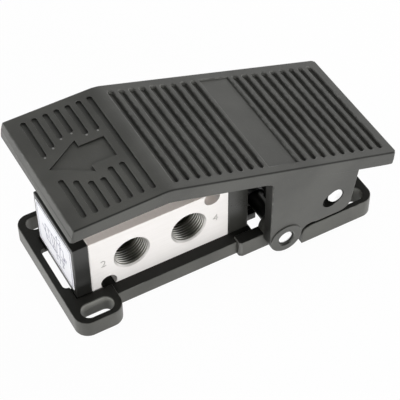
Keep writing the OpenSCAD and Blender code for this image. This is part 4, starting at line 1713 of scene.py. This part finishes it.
@dataclass
class ReturnSprings:
    """Torsion springs on the hinge pin, wound as true helices.

    Attributes:
        finishes: The finishes.
        coil_r: Radius to the middle of the wire.
        wire_r: Radius of the wire.
        coil_y: Distance of the coil's inner end from the middle.
        pitch: Distance from one turn to the next in the CAD coil, which sets the helix's outer end.
        turns: Turns on the base side.
        arm_y: Distance of the turn on the pedal side from the middle.
        arm_rise: Half of that turn's rise.
        foot_deg: Slope of the short leg.
        foot: Length of the short leg.
        arm_deg: Slope of the long leg.
        arm: Length of the long leg.
        steps: Points on each turn.
    """

    finishes: Finishes
    coil_r: float = 3.95
    wire_r: float = 0.48
    coil_y: float = 3.0
    pitch: float = 1.104
    turns: int = 3
    arm_y: float = 1.5
    arm_rise: float = 0.1
    foot_deg: float = 20.0
    foot: float = 7.35
    arm_deg: float = 27.5
    arm: float = 26.0
    steps: int = 40

    def build(self) -> None:
        """Wind the springs on both sides of the middle."""
        low, high = box_of("hinge_pin")
        hinge = (low + high) / 2
        coils = Shape("return_coils")
        arms = Shape("return_arms")
        for side in (-1, 1):
            coils.sweep(self._foot_path(hinge, side), self.wire_r)
            arms.sweep(self._arm_path(hinge, side), self.wire_r)
        coils.piece(Body.BASE, Slot.WIRE, [self.finishes.wire], ["return_springs"], sharp_deg=50)
        arms.piece(Body.PEDAL, Slot.WIRE, [self.finishes.wire], ["return_spring_arms"], sharp_deg=50)

    def _turns(self, hinge: Vector, side: int, start_deg: float, turns: int, ends: Spot) -> list[Vector]:
        """Give the points of a helix.

        Args:
            hinge: Middle of the hinge.
            side: Side of the middle plane.
            start_deg: Angle of the first point.
            turns: Number of turns, wound clockwise as seen from the front.
            ends: Distance of the first and the last point from the middle plane.

        Returns:
            The points in order.
        """
        first, last = ends
        count = turns * self.steps
        points = []
        for k in range(count + 1):
            angle = math.radians(start_deg) - TURN * turns * k / count
            y = first + (last - first) * k / count
            points.append(Vector((hinge.x + self.coil_r * math.cos(angle), side * y,
                                  hinge.z + self.coil_r * math.sin(angle))))
        return points

    @staticmethod
    def _leg(length: float, slope_deg: float) -> Vector:
        """Give the way along a leg from its lower end to its upper one."""
        slope = math.radians(slope_deg)
        return length * Vector((math.cos(slope), 0, math.sin(slope)))

    def _foot_path(self, hinge: Vector, side: int) -> list[Vector]:
        """Give the wire's path from the tip of the short leg through the coil.

        Args:
            hinge: Middle of the hinge.
            side: Side of the middle plane.

        Returns:
            The points in order.
        """
        outer_y = self.coil_y + (self.turns - 1) * self.pitch
        coil = self._turns(hinge, side, 90 + self.foot_deg, self.turns, (outer_y, self.coil_y))
        return [coil[0] - self._leg(self.foot, self.foot_deg)] + coil

    def _arm_path(self, hinge: Vector, side: int) -> list[Vector]:
        """Give the wire's path through the inner turn to the tip of the long leg.

        Args:
            hinge: Middle of the hinge.
            side: Side of the middle plane.

        Returns:
            The points in order.
        """
        ends = (self.arm_y + self.arm_rise, self.arm_y - self.arm_rise)
        coil = self._turns(hinge, side, 90 + self.arm_deg, 1, ends)
        return coil + [coil[-1] + self._leg(self.arm, self.arm_deg)]


@dataclass
class SpoolSpring:
    """The spring behind the spool, wound with closed ends.

    Attributes:
        finishes: The finishes.
        wire_r: Radius of the wire.
        open_turns: Turns between the closed turn at each end.
        steps: Points on each turn.
    """

    finishes: Finishes
    wire_r: float = 0.45
    open_turns: int = 3
    steps: int = 40

    def build(self) -> None:
        """Wind the spring from the cap to the cup."""
        low, high = box_of("spool_spring")
        middle = (low + high) / 2
        radius = (high.z - low.z) / 2 - self.wire_r
        wire = 2 * self.wire_r
        # Two closed turns and the wire's own thickness take three wires of the length.
        open_rise = (high.x - low.x - 3 * wire) / self.open_turns
        path = []
        for k in range(self.steps * (self.open_turns + 2) + 1):
            turn = k / self.steps
            opened = min(max(turn - 1, 0), self.open_turns)
            x = low.x + self.wire_r + open_rise * opened + wire * (turn - opened)
            path.append(Vector((x, middle.y + radius * math.sin(TURN * turn),
                                middle.z + radius * math.cos(TURN * turn))))
        shape = Shape("spool_coil")
        shape.sweep(path, self.wire_r)
        shape.piece(Body.BASE, Slot.WIRE, [self.finishes.wire], ["spool_spring"], sharp_deg=50,
                    far=Body.SPOOL)


@dataclass
class InnerParts:
    """The pieces inside the block and the roller, which keep their CAD shape.

    Attributes:
        finishes: The finishes.
    """

    finishes: Finishes

    def build(self) -> None:
        """Dress the pieces."""
        for node in ("spring_cap_seal", "actuator_cap_seal", "spool_seals", "plunger_seal"):
            self._dress(node, self.finishes.rubber)
        for node in ("plunger", "striker_roller"):
            self._dress(node, self.finishes.pin)
        for node in ("spring_cup", "plunger_bush"):
            self._dress(node, self.finishes.brass)
        self._dress("spool", self.finishes.spool)

    @staticmethod
    def _dress(node: str, paint: Paint) -> None:
        """Give a CAD node's object a better material.

        Args:
            node: The CAD node.
            paint: The material.
        """
        for held in frame["nodes"][node].material_slots:
            held.material = paint
        LOG.info("%s: dressed with %s", node, paint.name)


@dataclass(frozen=True)
class SoftBox:
    """A square soft box.

    Attributes:
        name: Its name.
        place: Where it hangs.
        aim: What it faces.
        width: Its width in metres.
        watts: Its power.
    """

    name: str
    place: Point
    aim: Point
    width: float
    watts: float

    def hang(self) -> None:
        """Hang it, out of sight of reflections."""
        data = bpy.data.lights.new(self.name, "AREA")
        data.shape = "SQUARE"
        data.size = self.width
        data.energy = self.watts
        made = put_in_scene(self.name, data)
        made.location = Vector(self.place) * MM
        made.rotation_euler = (Vector(self.aim) - Vector(self.place)).to_track_quat("-Z", "Y").to_euler()
        made.visible_glossy = False


@dataclass
class Studio:
    """Camera, floor and soft light.

    Attributes:
        eye: Place of the camera.
        ahead: Direction that the camera looks in.
        roll_deg: Turn of the picture about that direction.
        lens: Focal length.
        sensor: Width of the sensor.
        shift: Shift of the frame against the lens.
        clip: Nearest and farthest distance that the camera sees, in metres.
        floor_half: Half width of the floor in metres.
        floor_colour: Colour of the floor.
        floor_glow: Share of plain white in what the camera sees of the floor.
        floor_shine: How much brighter than white the floor is in a reflection.
        fill: Level of the light from all around.
        tent: Level of the tent in a reflection, beside the valve.
        tent_dim: How much lower that level is overhead.
        front_dim: Share of the tent that is missing in front.
        lamps: The soft boxes.
    """

    eye: Point = (-155.9, -287.39, 377.96)
    ahead: Point = (0.32137, 0.5845, -0.74504)
    roll_deg: float = 0.4214
    lens: float = 123.254
    sensor: float = 36.0
    shift: Spot = (-0.00103, -0.0048)
    clip: Spot = (0.01, 100.0)
    floor_half: float = 4.0
    floor_colour: tuple[float, float, float, float] = (0.86, 0.86, 0.86, 1)
    floor_glow: float = 0.97
    floor_shine: float = 0.2
    fill: float = 0.15
    tent: float = 1.1
    tent_dim: float = 0.8
    front_dim: float = 0.85
    lamps: tuple[SoftBox, ...] = (
        SoftBox("heel_box", (430, 150, 420), (20, 0, 40), 0.5, 2.3),
        SoftBox("front_box", (120, -1000, 180), (0, 0, 20), 0.8, 10.8),
        SoftBox("toe_box", (-950, 360, 90), (-50, 0, 20), 0.7, 15.5))

    def build(self) -> None:
        """Set the stage."""
        bpy.context.scene.view_settings.view_transform = "Standard"
        self._camera()
        self._floor()
        self._world()
        for lamp in self.lamps:
            lamp.hang()

    def _camera(self) -> None:
        """Put the camera at the photograph's place."""
        ahead = Vector(self.ahead).normalized()
        level = ahead.cross(Axis.Z.value).normalized()
        down = ahead.cross(level)
        roll = math.radians(self.roll_deg)
        right = math.cos(roll) * level + math.sin(roll) * down
        up = right.cross(ahead)
        data = bpy.data.cameras.new("camera")
        data.sensor_width = self.sensor
        data.lens = self.lens
        data.shift_x, data.shift_y = self.shift
        data.clip_start, data.clip_end = self.clip
        made = put_in_scene("camera", data)
        turn = Matrix((right, up, -ahead)).transposed()
        made.matrix_world = Matrix.Translation(Vector(self.eye) * MM) @ turn.to_4x4()
        bpy.context.scene.camera = made

    def _floor(self) -> None:
        """Lay a pale floor that the camera sees as white, with a soft shadow."""
        half = self.floor_half
        corners = [(-half, -half, 0), (half, -half, 0), (half, half, 0), (-half, half, 0)]
        mesh = bpy.data.meshes.new("floor")
        mesh.from_pydata(corners, [], [(0, 1, 2, 3)])
        sheet = Sheet(bpy.data.materials.new("floor_white"))
        glossy = sheet.rays("Is Glossy Ray")
        seen = sheet.rays("Is Camera Ray", "Is Glossy Ray", "Is Transmission Ray")
        matt = sheet.node("ShaderNodeBsdfDiffuse", None, {"Color": self.floor_colour})
        glow = sheet.node("ShaderNodeEmission", None, {
            "Color": WHITE, "Strength": 1 + glossy * self.floor_shine})
        mixed = sheet.node("ShaderNodeMixShader", None, {
            0: seen * self.floor_glow, 1: matt.outputs["BSDF"], 2: glow.outputs["Emission"]})
        sheet.node("ShaderNodeOutputMaterial", None, {"Surface": mixed.outputs["Shader"]})
        mesh.materials.append(sheet.owner)
        put_in_scene("floor", mesh)

    def _world(self) -> None:
        """Surround the valve with a white tent that is dimmer overhead and in front."""
        world = bpy.data.worlds.new("studio")
        bpy.context.scene.world = world
        sheet = Sheet(world)
        glossy = sheet.rays("Is Glossy Ray")
        clear = sheet.rays("Is Camera Ray", "Is Transmission Ray")
        where = sheet.node("ShaderNodeTexCoord").outputs["Generated"]
        parts = sheet.node("ShaderNodeSeparateXYZ", None, {0: where})
        height = Value(sheet, parts.outputs["Z"])
        depth = Value(sheet, parts.outputs["Y"])
        tent = self.tent - height.step(0.42, 0.72) * self.tent_dim
        front = (0 - depth).step(0.2, 0.7) * height.step(0.15, 0.4)
        glow = glossy * (tent * (1 - front * self.front_dim) - self.fill) + self.fill
        light = sheet.node("ShaderNodeBackground", None, {"Color": WHITE, "Strength": glow.at_least(clear)})
        sheet.node("ShaderNodeOutputWorld", None, {"Surface": light.outputs["Background"]})


def main() -> None:
    """Build the scene in order."""
    logging.basicConfig(level=logging.INFO, format="%(message)s")
    finishes = Finishes.make()
    Studio().build()
    for part in (Pedal, BaseCasting, ValveBlock, EndCaps, Pins, Screws, ReturnSprings, SpoolSpring,
                 InnerParts):
        part(finishes).build()


if __name__ == "__main__":
    main()
